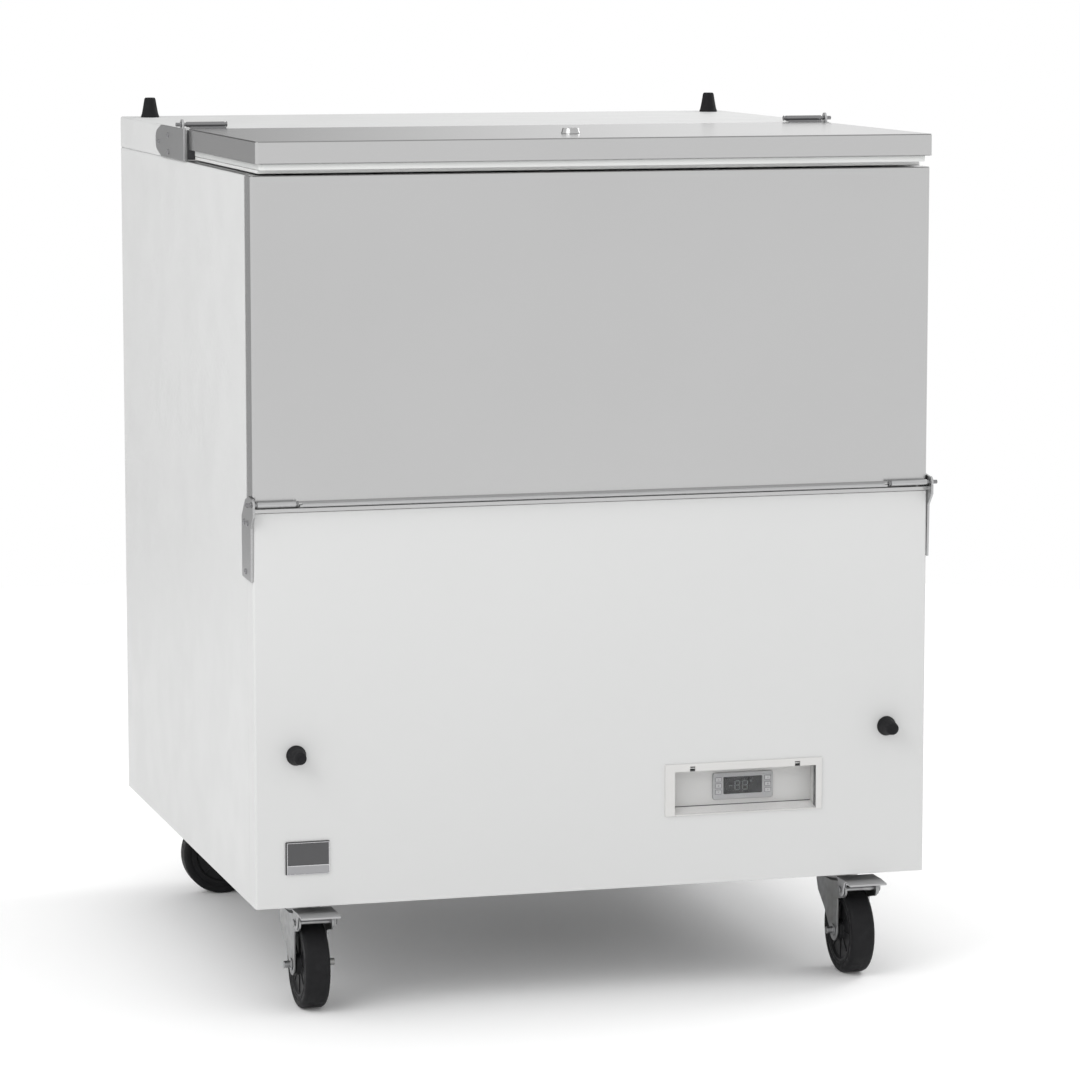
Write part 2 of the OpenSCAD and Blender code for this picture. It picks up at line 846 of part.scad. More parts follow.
module fasteners() {
    color("silver") place() {
        both_sides() for (p = concat(lid_screws, door_screws)) {
            rod_x(inner_x, side_x + bracket_t, p.x, p.y, screw_r, $fn = 24);
            rod_x(side_x + bracket_t, side_x + bracket_t + screw_head_h, p.x, p.y, screw_head_r, $fn = 24);
        }
        for (c = CASTERS)
            translate([c.x, c.y, 0]) caster_bolt_places() caster_bolt();
    }
}

// ---------- controller ----------

// The controller's rear housing, from y0 to y1
module controller_back(y0, y1) {
    box([ctrl_x0 + ctrl_edge_x, y0, ctrl_z0 + ctrl_edge_z],
        [ctrl_x0 + ctrl_w - ctrl_edge_x, y1, ctrl_z0 + ctrl_h - ctrl_edge_z]);
}

module controller_bezel() {
    back_y = recess_d + 3;
    color("whitesmoke") place() difference() {
        union() {
            box([bezel_x, -bezel_t, bezel_z], [bezel_x + bezel_w, 0, bezel_z + bezel_h]);
            box([open_x0 - recess_wall + fit_gap, 0, open_z0 + fit_gap],
                [open_x1 + recess_wall - fit_gap, back_y, slot_top - fit_gap]);
        }
        along_x(open_x0, open_x1) polygon([
            [-bezel_t - eps, open_z0], [-bezel_t, open_z0 + fit_gap], [recess_d, open_z0 + ramp_rise],
            [recess_d, open_z1], [-bezel_t - eps, open_z1]
        ]);
        for (x = slot_x)
            box([x - slot_w / 2, -bezel_t - eps, open_z1 - eps],
                [x + slot_w / 2, slot_d, slot_top - 3 * fit_gap]);
        controller_back(recess_d - eps, back_y + eps);
    }
    color("silver") place()
        for (x = slot_x)
            rod_x(x - slot_w / 2, x + slot_w / 2, flap_axis_y, flap_axis_z, flap_pin_r, $fn = 24);
}

module controller_cover() {
    plate_y = -1.4;
    back_y = -0.2;
    tab = 2.9;
    color([0.9, 0.95, 1, 0.3]) place() difference() {
        union() {
            box([open_x0 + 1, plate_y, open_z0 + 1.5], [open_x1 - 1, back_y, open_z1 - 1]);
            for (x = slot_x) {
                box([x - tab, plate_y, open_z1 - 3], [x + tab, back_y, flap_axis_z]);
                rod_x(x - tab, x + tab, flap_axis_y, flap_axis_z, flap_knuckle_r, $fn = 32);
            }
        }
        for (x = slot_x)
            rod_x(x - slot_w, x + slot_w, flap_axis_y, flap_axis_z, flap_pin_r + running, $fn = 24);
    }
}

module controller_body() {
    color("gainsboro") place() difference() {
        union() {
            box([ctrl_x0, face_y, ctrl_z0], [ctrl_x0 + ctrl_w, recess_d, ctrl_z0 + ctrl_h]);
            controller_back(recess_d, recess_d + ctrl_back_d);
        }
        box([display_x0, face_y - eps, display_z0],
            [display_x0 + display_w, face_y + display_t, display_z0 + display_h]);
        for (x = key_x, z = key_z)
            box([x - key_w / 2 - key_gap, face_y - eps, z - key_h / 2 - key_gap],
                [x + key_w / 2 + key_gap, face_y + key_depth + key_travel + 0.4, z + key_h / 2 + key_gap]);
    }
}

module display_window() {
    color("black") place()
        box([display_x0, face_y - 0.3, display_z0],
            [display_x0 + display_w, face_y + display_t, display_z0 + display_h]);
}

// A push key of the controller, in column 0 (left) or 1 and row 0 (top) to 2
module key(column, row) {
    x = key_x[column];
    z = key_z[row];
    color("silver") place()
        box([x - key_w / 2, face_y - 0.8, z - key_h / 2], [x + key_w / 2, face_y + key_depth, z + key_h / 2]);
}

// ---------- casters ----------

// Puts a caster's own drawing, whose axle trails towards the front, on corner i
module at_caster(i) {
    place() translate([CASTERS[i].x, CASTERS[i].y, 0]) rotate([0, 0, CASTERS[i].z]) children();
}

module caster_plates() {
    color("silver") for (i = [0 : 3]) at_caster(i) {
        rotate([0, 0, -CASTERS[i].z]) difference() {
            box([-plate_x, -plate_y, -plate_t], [plate_x, plate_y, 0]);
            caster_bolt_places() cylinder(h = 3 * plate_t, r = bolt_hole_r, center = true);
        }
        translate([0, 0, race_z + race_gap]) cylinder(h = -race_z - race_gap - plate_t, r = race_r);
        translate([0, 0, crown_z - race_gap]) cylinder(h = -crown_z - 2, r = kingpin_r);
        translate([0, 0, crown_z - race_gap - 4]) cylinder(h = 4, r = 9);
    }
}

// A fork leg's outline in (distance from the swivel line, height)
module leg_outline(braked) {
    polygon([[-25, crown_z + crown_t], [31, crown_z + crown_t], [31, -30], [25, -43], [1, -61], [-21, -85],
             [-49, -84], [-49, -40], [-25, crown_z]]);
    translate([-trail, axle_z]) circle(14);
    if (braked) {
        polygon([[brake_u, brake_z + brake_r], [-25, crown_z + crown_t], [-25, -40], [-49, -40],
                 [brake_u, brake_z - brake_r]]);
        translate([brake_u, brake_z]) circle(brake_r);
    }
}

module fork(braked) {
    leg_out = leg_x + leg_t;
    end_l = 10;
    end_r = 4.5;
    washer_t = 1.5;
    washer_r = 8;
    pin_x = leg_out + 4;
    head_t = 1.5;
    color("silver") difference() {
        union() {
            for (x = [-leg_out, leg_x])
                along_x(x, x + leg_t) leg_outline(braked);
            box([-leg_out, -25, crown_z], [leg_out, 31, crown_z + crown_t]);
            translate([0, 0, crown_z]) cylinder(h = race_z - crown_z, r = race_r - 2);
        }
        translate([0, 0, crown_z - eps]) cylinder(h = 30, r = kingpin_r + running);
        rod_x(-2 * leg_out, 2 * leg_out, -trail, axle_z, axle_r + snug);
        if (braked)
            rod_x(-2 * leg_out, 2 * leg_out, brake_u, brake_z, brake_pin_r + snug);
    }
    color("silver") {
        rod_x(-leg_out - snug, leg_out + snug, -trail, axle_z, axle_r);
        rod_x(-leg_out - end_l, leg_out + end_l, -trail, axle_z, end_r);
        for (x = [-leg_out - washer_t - snug, leg_out + snug])
            rod_x(x, x + washer_t, -trail, axle_z, washer_r);
        if (braked) {
            rod_x(-pin_x, pin_x, brake_u, brake_z, brake_pin_r);
            for (x = [-pin_x - head_t, pin_x])
                rod_x(x, x + head_t, brake_u, brake_z, 5);
        }
    }
}

module wheel() {
    hub_half = 18.5;
    hub_r = 14;
    web_half = 12;
    shoulder_r = 6;
    color("#222222") translate([0, -trail, axle_z]) rotate([0, 90, 0]) rotate_extrude($fn = 96) difference() {
        union() {
            intersection() {
                round_rect([-wheel_r, -wheel_w / 2], [wheel_r, wheel_w / 2], shoulder_r);
                translate([0, -wheel_w]) square([wheel_r, 2 * wheel_w]);
            }
            translate([0, -hub_half]) square([hub_r, 2 * hub_half]);
        }
        translate([0, -wheel_w]) square([axle_r + running, 2 * wheel_w]);
        for (s = [-1, 1])
            polygon([[hub_r, s * web_half], [36, s * web_half],
                     [41, s * (wheel_w / 2 + eps)], [hub_r, s * (wheel_w / 2 + eps)]]);
    }
}

module brake_pedal() {
    tab_x = leg_x + leg_t + 0.5;
    tab_t = 2;
    plate_z = brake_z + brake_r + 1;
    front_u = -105;
    bend_u = -84;
    back_u = -53;
    color("silver") difference() {
        union() {
            along_x(-tab_x - tab_t, tab_x + tab_t) polygon([
                [front_u, plate_z - 2], [bend_u, plate_z], [back_u, plate_z],
                [back_u, plate_z + 2.5], [bend_u - 0.2, plate_z + 2.5], [front_u - 0.2, plate_z + 0.5]
            ]);
            for (x = [-tab_x - tab_t, tab_x])
                along_x(x, x + tab_t) {
                    polygon([[bend_u, plate_z + 1], [back_u - 5, plate_z + 1], [brake_u + 7, brake_z - 3],
                             [brake_u - 7, brake_z - 3]]);
                    translate([brake_u, brake_z]) circle(brake_r - 2);
                }
        }
        rod_x(-2 * tab_x, 2 * tab_x, brake_u, brake_z, brake_pin_r + running);
    }
}

// ---------- lid ----------

// The lid's outline in plan, drawn in by inset from the skin's outside
module lid_plan(inset, r) {
    round_rect([-lid_x + inset, -lid_overhang + inset], [lid_x - inset, lid_y1 - inset], r);
}

module lid_skin() {
    color("lightgray") place() difference() {
        translate([0, 0, lid_z0]) linear_extrude(lid_skin_h) lid_plan(0, lid_r);
        translate([0, 0, lid_z0 - eps])
            linear_extrude(lid_skin_h - lid_t + eps) lid_plan(lid_t, lid_r - lid_t);
        translate([0, lock_y, top_z]) cylinder(h = 8, r = lock_r, center = true);
    }
}

module lid_liner() {
    color("white") place() difference() {
        translate([0, 0, pan_z]) linear_extrude(lid_z0 - pan_z) lid_plan(pan_inset, pan_r);
        translate([0, 0, pan_z + pan_wall])
            linear_extrude(lid_h) lid_plan(pan_inset + pan_wall, pan_r - pan_wall);
        translate([0, lock_y, pan_z]) cylinder(h = 8, r = lock_r, center = true);
    }
}

module lid_foam() {
    color("khaki") place() difference() {
        union() {
            translate([0, 0, pan_z + pan_wall]) linear_extrude(lid_skin_h - pan_wall)
                lid_plan(pan_inset + pan_wall, pan_r - pan_wall);
            translate([0, 0, lid_z0]) linear_extrude(lid_skin_h - lid_t) lid_plan(lid_t, lid_r - lid_t);
        }
        translate([0, lock_y, pan_z]) cylinder(h = 120, r = lock_r, center = true);
    }
}

module lid_gasket() {
    color("white") place() translate([0, 0, gasket_z]) linear_extrude(pan_z - gasket_z) difference() {
        round_rect([-gasket_x, gasket_y0], [gasket_x, gasket_y1], 6);
        round_rect([-gasket_x + gasket_w, gasket_y0 + gasket_w],
                   [gasket_x - gasket_w, gasket_y1 - gasket_w], 2);
    }
}

module lid_hinge_leaves() {
    x0 = lid_knuckle_x;
    x1 = lid_knuckle_x + knuckle_l;
    z = top_z + 0.9;
    color("silver") place() both_sides() difference() {
        union() {
            rod_x(x0, x1, lid_axis.y, lid_axis.z, knuckle_r);
            along_x(x0, x1 - 3) polygon([
                [lid_y1, top_z - 20], [lid_y1 + 1.5, top_z - 20], [lid_y1 + 1.5, z], [lid_axis.y - 1, z],
                [lid_axis.y - 1, z + 1.6], [lid_y1, z + 1.6]
            ]);
        }
        rod_x(x0 - eps, x1 + eps, lid_axis.y, lid_axis.z, pin_r + running);
    }
}

module lock_body() {
    color("silver") place() translate([0, lock_y, 0]) difference() {
        union() {
            translate([0, 0, top_z]) cylinder(h = 7, r1 = 12.5, r2 = 10.5);
            translate([0, 0, pan_z - 6]) cylinder(h = top_z - pan_z + 6 + eps, r = lock_r);
        }
        translate([0, 0, pan_z - 20]) cylinder(h = 80, r = lock_plug_r + running);
    }
}

module lock_plug() {
    color("gray") place() translate([0, lock_y, 0]) difference() {
        union() {
            translate([0, 0, cam_z]) cylinder(h = top_z + 6.5 - cam_z, r = lock_plug_r);
            box([0, -6, cam_z], [cam_l, 6, cam_z + cam_t]);
        }
        box([-0.8, -4, top_z + 3], [0.8, 4, top_z + 10]);
    }
}

// ---------- drop door ----------

// The door's outline in plan, drawn in by inset from the skin's outside
module door_plan(inset, depth) {
    front_rounded([-door_x + inset, inset], [door_x - inset, depth], max(door_r - inset, 0.5));
}

module door_skin() {
    color("silver") place() difference() {
        translate([0, 0, door_z]) linear_extrude(door_top - door_z) door_plan(0, door_d);
        translate([0, 0, door_z + door_t]) linear_extrude(door_top - door_z - 2 * door_t)
            door_plan(door_t, door_d + eps);
        box([-door_x - eps, door_top_d, door_top - door_t - eps],
            [door_x + eps, door_d + eps, door_top + eps]);
    }
}

module door_liner() {
    x = door_x - door_t;
    t = 1.5;
    color("white") place() {
        difference() {
            union() {
                box([-x, door_back - door_t, door_z + door_t], [x, door_back, door_top - door_t]);
                box([-plug_x, door_back, plug_z0], [plug_x, plug_y, plug_z1]);
            }
            box([-plug_x + t, door_back - door_t - eps, plug_z0 + t], [plug_x - t, plug_y - t, plug_z1 - t]);
        }
        box([-20, plug_y, strike_z], [20, plug_y + strike_l, strike_z + cam_t]);
    }
}

module door_foam() {
    t = 1.5;
    color("khaki") place() {
        translate([0, 0, door_z + door_t]) linear_extrude(door_top - door_z - 2 * door_t)
            door_plan(door_t, door_back - door_t);
        box([-plug_x + t, door_back - door_t - eps, plug_z0 + t], [plug_x - t, plug_y - t, plug_z1 - t]);
    }
}

module door_gasket() {
    out_x = door_x - 6;
    in_x = out_x - gasket_w;
    z0 = door_z + 5;
    y1 = seam_y - 0.3;
    color("gray") place() difference() {
        box([-out_x, door_back, z0], [out_x, y1, door_top - 3]);
        box([-in_x, door_back - eps, z0 + gasket_w], [in_x, y1 + eps, door_top + eps]);
    }
}

module door_hinge_strip() {
    x0 = door_knuckle_x;
    x1 = door_knuckle_x + knuckle_l - 2;
    bead_r = 2.6;
    bead_z = door_z - 2;
    web = 1.5;
    color("silver") place() difference() {
        union() {
            both_sides() rod_x(x0, x1, door_axis.y, door_axis.z, knuckle_r);
            rod_x(-x0 + 5, x0 - 5, door_axis.y + 0.5, bead_z, bead_r);
            box([-x0 + 5, door_axis.y, door_z - web], [x0 - 5, 28, door_z]);
            both_sides() box([x0 - 8, door_axis.y, door_z - web], [x1, 28, door_z]);
        }
        both_sides() rod_x(x0 - 8.5, x1 + eps, door_axis.y, door_axis.z, pin_r + running);
        both_sides() box([x0 - 5, door_axis.y - 5, door_z - 6], [x0, -1, door_z + 4]);
    }
}

// ---------- the assembly ----------

base_pan();
side_panel_left();
side_panel_right();
front_panel();
rear_panel();
rear_grille();
sill_trim();
opening_trim();
rear_ledge();
insulation();
inner_liner();
evaporator_coil();
compressor();
condenser();
fan_motor();
refrigerant_lines();
drain_fitting();
rubber_bumpers();
lid_hinge_brackets();
door_hinge_brackets();
hinge_pins();
fasteners();
controller_bezel();
controller_body();
display_window();
badge_plate();
cable_gland();
caster_plates();
fan_blade();
drain_plug();
floor_rack();
controller_cover();
key(0, 0);  // key_left_top
key(0, 1);  // key_left_middle
key(0, 2);  // key_left_bottom
key(1, 0);  // key_right_top
key(1, 1);  // key_right_middle
key(1, 2);  // key_right_bottom
at_caster(0) fork(true);  // caster_fork_front_left
at_caster(1) fork(true);  // caster_fork_front_right
at_caster(2) fork(false);  // caster_fork_rear_left
at_caster(3) fork(false);  // caster_fork_rear_right
at_caster(0) wheel();  // caster_wheel_front_left
at_caster(1) wheel();  // caster_wheel_front_right
at_caster(2) wheel();  // caster_wheel_rear_left
at_caster(3) wheel();  // caster_wheel_rear_right
at_caster(0) brake_pedal();  // brake_pedal_left
at_caster(1) brake_pedal();  // brake_pedal_right
lid_skin();
lid_liner();
lid_foam();
lid_gasket();
lid_hinge_leaves();
lock_body();
lock_plug();
door_skin();
door_liner();
door_foam();
door_gasket();
door_hinge_strip();
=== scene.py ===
"""The looks of a drop-front chest cooler on casters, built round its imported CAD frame.

Shapes are drawn in millimetres in the cabinet's own frame: x is 0 on the centre plane, y is 0 at
the front face and z is 0 at the underside. make() turns them into metres in the row frame.
"""

import json
import math

import bmesh
import bpy
from mathutils import Matrix, Vector


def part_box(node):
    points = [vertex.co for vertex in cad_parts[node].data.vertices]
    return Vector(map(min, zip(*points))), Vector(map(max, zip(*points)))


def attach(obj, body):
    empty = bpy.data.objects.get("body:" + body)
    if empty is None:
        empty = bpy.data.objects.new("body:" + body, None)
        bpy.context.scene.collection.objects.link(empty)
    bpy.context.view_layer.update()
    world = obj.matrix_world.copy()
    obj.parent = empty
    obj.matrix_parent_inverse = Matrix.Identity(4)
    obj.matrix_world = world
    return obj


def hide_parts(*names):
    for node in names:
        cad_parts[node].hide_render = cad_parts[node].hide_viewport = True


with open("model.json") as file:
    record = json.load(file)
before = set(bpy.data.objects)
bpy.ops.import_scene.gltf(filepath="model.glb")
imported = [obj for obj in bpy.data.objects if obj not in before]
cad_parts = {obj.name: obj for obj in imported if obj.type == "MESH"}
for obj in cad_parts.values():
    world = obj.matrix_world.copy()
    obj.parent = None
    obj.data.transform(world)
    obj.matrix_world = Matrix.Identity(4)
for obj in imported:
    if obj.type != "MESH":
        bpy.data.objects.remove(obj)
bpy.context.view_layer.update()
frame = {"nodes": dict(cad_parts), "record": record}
NODES = frame["nodes"]
BODY = {n: b for b, members in frame["record"]["behaviour"]["bodies"].items() for n in members}

MM = 0.001
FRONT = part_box("front_panel")[0].y
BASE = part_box("base_pan")[0].z
CABINET = Matrix.Translation((0, FRONT, BASE)) @ Matrix.Scale(MM, 4)
INTO_CABINET = CABINET.inverted()
CORNERS = ("front_left", "front_right", "rear_left", "rear_right")
KEYS = [(f"key_{column}_{row}", row)
        for column in ("left", "right") for row in ("top", "middle", "bottom")]

# Edges that turn by more than SHARP are softened, and faces that turn by less than FLAT are joined.
SHARP = math.radians(32)
FLAT = math.radians(0.6)
WELD = 2e-6


# ---------- reading the frame ----------

def cab(node):
    """A CAD node's lowest and highest corners in the cabinet's frame."""
    return [INTO_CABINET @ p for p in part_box(node)]


def welded(node):
    """A CAD node's mesh with its vertices welded and its flat faces whole, in metres."""
    bm = bmesh.new()
    bm.from_mesh(NODES[node].data)
    bmesh.ops.remove_doubles(bm, verts=bm.verts, dist=WELD)
    bmesh.ops.dissolve_limit(bm, angle_limit=FLAT, verts=bm.verts, edges=bm.edges)
    return bm


def islands(bm):
    """The connected groups of a bmesh's vertices."""
    left = set(bm.verts)
    groups = []
    while left:
        front = [left.pop()]
        group = list(front)
        while front:
            near = {e.other_vert(v) for v in front for e in v.link_edges} & left
            left -= near
            front = list(near)
            group += front
        groups.append(group)
    return groups


def solids(node):
    """The boxes (low, high) of a CAD node's separate solids, in the cabinet's frame."""
    bm = welded(node)
    boxes = []
    for group in islands(bm):
        points = [INTO_CABINET @ v.co for v in group]
        low = Vector([min(p[i] for p in points) for i in range(3)])
        high = Vector([max(p[i] for p in points) for i in range(3)])
        boxes.append((low, high))
    bm.free()
    return sorted(boxes, key=lambda b: tuple(round(c, 1) for c in b[0]))


# ---------- shapes: (vertices, faces) ----------

def block(low, high):
    """A box between two corners."""
    corners = [(x, y, z) for x in (low[0], high[0]) for y in (low[1], high[1])
               for z in (low[2], high[2])]
    faces = [(0, 1, 3, 2), (4, 6, 7, 5), (0, 4, 5, 1), (2, 3, 7, 6), (0, 2, 6, 4), (1, 5, 7, 3)]
    return corners, faces


def prism(outline, z0, z1):
    """A flat outline of (x, y) points, pulled up from z0 to z1."""
    n = len(outline)
    verts = [(x, y, z0) for x, y in outline] + [(x, y, z1) for x, y in outline]
    sides = [(i, (i + 1) % n, n + (i + 1) % n, n + i) for i in range(n)]
    return verts, sides + [tuple(reversed(range(n))), tuple(range(n, 2 * n))]


def slab(outline, y0, y1):
    """A flat outline of (x, z) points, as thick as y0 to y1."""
    verts, faces = prism(outline, y0, y1)
    return [(x, y, z) for x, z, y in verts], faces


def beam(outline, x0, x1):
    """A flat outline of (y, z) points, as long as x0 to x1."""
    verts, faces = prism(outline, x0, x1)
    return [(x, y, z) for y, z, x in verts], faces


def grid(rows):
    """A surface through rows of points, all rows the same length."""
    wide = len(rows[0])
    verts = [p for row in rows for p in row]
    faces = [(i * wide + j, i * wide + j + 1, (i + 1) * wide + j + 1, (i + 1) * wide + j)
             for i in range(len(rows) - 1) for j in range(wide - 1)]
    return verts, faces


def capped(rows):
    """A surface through closed loops of points, with its two ends filled."""
    verts, faces = grid(rows)
    wide = len(rows[0])
    first = range(wide - 1)
    last = [(len(rows) - 1) * wide + k for k in reversed(first)]
    return verts, faces + [tuple(first), tuple(last)]


def spun(profile, steps=64):
    """What (radius, height) points sweep when they spin round Z."""
    rows = [[(r * math.cos(math.tau * k / steps), r * math.sin(math.tau * k / steps), h)
             for k in range(steps + 1)] for r, h in profile]
    return grid(rows)


def swept(path, profile, closed):
    """A closed (out, up) profile carried along a path of (point, out, up) frames."""
    loop = [*profile, profile[0]]
    rows = [[tuple(p + out * u + up * v) for u, v in loop] for p, out, up in path]
    return grid([*rows, rows[0]]) if closed else capped(rows)


def moved(shape, matrix):
    """A shape put through a matrix."""
    verts, faces = shape
    return [tuple(matrix @ Vector(v)) for v in verts], faces


def towards(axis, origin):
    """The matrix that stands a shape's Z along axis, at origin."""
    turn = Vector((0, 0, 1)).rotation_difference(Vector(axis)).to_matrix().to_4x4()
    return Matrix.Translation(origin) @ turn


def arc(cx, cy, r, a0, a1, steps=8):
    """Points on an arc, with its angles in degrees."""
    angles = [math.radians(a0 + (a1 - a0) * k / steps) for k in range(steps + 1)]
    return [(cx + r * math.cos(a), cy + r * math.sin(a)) for a in angles]


def rounded(x0, y0, x1, y1, r, steps=6):
    """The outline of a rectangle with round corners."""
    return (arc(x1 - r, y0 + r, r, -90, 0, steps) + arc(x1 - r, y1 - r, r, 0, 90, steps)
            + arc(x0 + r, y1 - r, r, 90, 180, steps) + arc(x0 + r, y0 + r, r, 180, 270, steps))


# ---------- making pieces ----------

def finish_mesh(bm, name, materials, bevel, segments):
    """A bmesh as an object with its materials, soft edges and smooth shading."""
    bmesh.ops.recalc_face_normals(bm, faces=bm.faces)
    bm.verts.index_update()
    verts = [tuple(v.co) for v in bm.verts]
    faces = [[v.index for v in f.verts] for f in bm.faces]
    used = [f.material_index for f in bm.faces]
    bm.free()
    mesh = bpy.data.meshes.new(name)
    mesh.from_pydata(verts, [], faces)
    for material in materials:
        mesh.materials.append(material)
    mesh.polygons.foreach_set("material_index", used)
    mesh.shade_smooth()
    obj = bpy.data.objects.new(name, mesh)
    bpy.context.scene.collection.objects.link(obj)
    if bevel:
        soft = obj.modifiers.new("soft edges", "BEVEL")
        soft.width = bevel * MM
        soft.segments = segments
        soft.limit_method = "ANGLE"
        soft.angle_limit = SHARP
        soft.use_clamp_overlap = False
        soft.miter_outer = "MITER_ARC"
        shade = obj.modifiers.new("flat faces", "WEIGHTED_NORMAL")
        shade.keep_sharp = True
        shade.weight = 100
    else:
        mesh.set_sharp_from_angle(angle=SHARP)
    return obj


def make(name, shapes, material, body, bevel=0.0, segments=2, stands_for=()):
    """A piece from shapes in the cabinet's frame, riding on a body."""
    bm = bmesh.new()
    for verts, faces in shapes:
        added = [bm.verts.new(CABINET @ Vector(v)) for v in verts]
        for face in faces:
            bm.faces.new([added[i] for i in face])
    bmesh.ops.remove_doubles(bm, verts=bm.verts, dist=WELD)
    bmesh.ops.dissolve_degenerate(bm, edges=bm.edges, dist=WELD)
    obj = finish_mesh(bm, name, [material], bevel, segments)
    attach(obj, body)
    if stands_for:
        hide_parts(*stands_for)
    return obj


def repainted(node, material, smooth=True):
    """A CAD node that keeps its own mesh and takes a material."""
    mesh = NODES[node].data
    mesh.materials.clear()
    mesh.materials.append(material)
    if smooth:
        mesh.shade_smooth()


def softened(node, material, bevel=0.4, segments=2, bends=(), bend_material=None, keep=None):
    """A CAD node with its sharp edges rounded. bends are (test of an edge's two ends, radius) pairs
    for edges that have a larger radius, and keep picks which vertices stay."""
    materials = [material, bend_material] if bend_material else [material]
    bm = welded(node)
    if keep:
        gone = [v for v in bm.verts if not keep(INTO_CABINET @ v.co)]
        bmesh.ops.delete(bm, geom=gone, context="VERTS")
    for test, radius in bends:
        edges = [e for e in bm.edges if len(e.link_faces) == 2 and e.calc_face_angle(0) > SHARP
                 and test(INTO_CABINET @ e.verts[0].co, INTO_CABINET @ e.verts[1].co)]
        bmesh.ops.bevel(bm, geom=edges, offset=radius * MM, segments=5, profile=0.5, affect="EDGES",
                        material=len(materials) - 1)
    obj = finish_mesh(bm, node + ".finished", materials, bevel, segments)
    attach(obj, BODY[node])
    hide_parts(node)
    return obj


# ---------- materials ----------

class Surface:
    """A principled material, with helpers for procedural colour, roughness and bump."""

    def __init__(self, name, colour, rough, metal=0.0, **sockets):
        self.made = bpy.data.materials.new(name)
        self.made.use_nodes = True
        self.tree = self.made.node_tree
        self.shader = self.tree.nodes["Principled BSDF"]
        self.colour = (*colour, 1.0)
        self.rough = rough
        self.set("Base Color", self.colour)
        self.set("Roughness", rough)
        self.set("Metallic", metal)
        for socket, value in sockets.items():
            self.set(socket.replace("_", " "), value)
        self.place = self.node("ShaderNodeTexCoord").outputs["Object"]
        self.made.diffuse_color = self.colour

    def set(self, socket, value):
        self.shader.inputs[socket].default_value = value

    def node(self, kind, **values):
        new = self.tree.nodes.new(kind)
        for key, value in values.items():
            setattr(new, key, value)
        return new

    def link(self, source, target):
        self.tree.links.new(source, target)

    def noise(self, size, detail=3.0, stretch=(1, 1, 1), kind="noise"):
        """A pattern with features of size millimetres, drawn out along each axis by stretch."""
        mapping = self.node("ShaderNodeMapping")
        mapping.inputs["Scale"].default_value = [1 / (size * MM * s) for s in stretch]
        self.link(self.place, mapping.inputs["Vector"])
        if kind == "cells":
            pattern = self.node("ShaderNodeTexVoronoi")
            pattern.inputs["Scale"].default_value = 1.0
            self.link(mapping.outputs[0], pattern.inputs["Vector"])
            return pattern.outputs["Distance"]
        pattern = self.node("ShaderNodeTexNoise")
        pattern.inputs["Scale"].default_value = 1.0
        pattern.inputs["Detail"].default_value = detail
        self.link(mapping.outputs[0], pattern.inputs["Vector"])
        return pattern.outputs["Fac"]

    def height(self):
        """How high a point is above the floor, in metres."""
        split = self.node("ShaderNodeSeparateXYZ")
        self.link(self.place, split.inputs[0])
        return split.outputs["Z"]

    def ranged(self, pattern, low, high, start=0.3, end=0.7):
        """A pattern's values spread from low to high."""
        ramp = self.node("ShaderNodeMapRange", interpolation_type="SMOOTHSTEP")
        for socket, value in zip(("From Min", "From Max", "To Min", "To Max"), (start, end, low, high)):
            ramp.inputs[socket].default_value = value
        self.link(pattern, ramp.inputs["Value"])
        return ramp.outputs["Result"]

    def tint(self, pattern, other, start=0.3, end=0.7):
        """Blends the base colour towards other where the pattern is high."""
        mix = self.node("ShaderNodeMix", data_type="RGBA")
        source = self.shader.inputs["Base Color"]
        if source.is_linked:
            self.link(source.links[0].from_socket, mix.inputs["A"])
        else:
            mix.inputs["A"].default_value = self.colour
        mix.inputs["B"].default_value = (*other, 1.0)
        self.link(self.ranged(pattern, 0, 1, start, end), mix.inputs["Factor"])
        self.link(mix.outputs["Result"], source)
        return self

    def gloss(self, pattern, low, high):
        """Lets the roughness wander from low to high."""
        self.link(self.ranged(pattern, low, high), self.shader.inputs["Roughness"])
        return self

    def bump(self, pattern, depth):
        """Raises the surface by up to depth millimetres where the pattern is high."""
        bump = self.node("ShaderNodeBump")
        bump.inputs["Strength"].default_value = 1.0
        bump.inputs["Distance"].default_value = depth * MM
        source = self.shader.inputs["Normal"]
        if source.is_linked:
            self.link(source.links[0].from_socket, bump.inputs["Normal"])
        self.link(pattern, bump.inputs["Height"])
        self.link(bump.outputs["Normal"], source)
        return self


def shaded(colour, amount):
    """A colour made darker, or lighter where amount is over 1."""
    return tuple(min(1.0, c * amount) for c in colour)


def powder_coat():
    """White paint with a faint orange peel, and painted shade that darkens it towards the floor."""
    colour = (0.645, 0.648, 0.645)
    s = Surface("white_powder_coat", colour, 0.42, Specular_IOR_Level=0.4)
    # The tint by height is painted shade: the paint darkens towards the floor, as if in the floor's
    # shadow.
    s.tint(s.noise(420, 2), shaded(colour, 0.985)).tint(s.height(), shaded(colour, 0.93), 0.95, 0.1)
    s.gloss(s.noise(60, 4), 0.38, 0.48)
    return s.bump(s.noise(2.2, 2), 0.012).bump(s.noise(60, 2), 0.01).made


def brushed(name, colour, rough, streak=0.9, along=(120, 1, 1), size=0.8, depth=0.004, metal=1.0,
            haze=0.03):
    """Satin sheet metal with fine lines along one axis and faint cloudy handling marks."""
    s = Surface(name, colour, rough, metal=metal)
    lines = s.noise(size, 4, along)
    s.tint(lines, shaded(colour, streak)).tint(s.noise(240, 3), shaded(colour, 0.98))
    s.gloss(s.noise(3 * size, 3, along), rough - haze, rough + haze)
    return s.bump(lines, depth).made


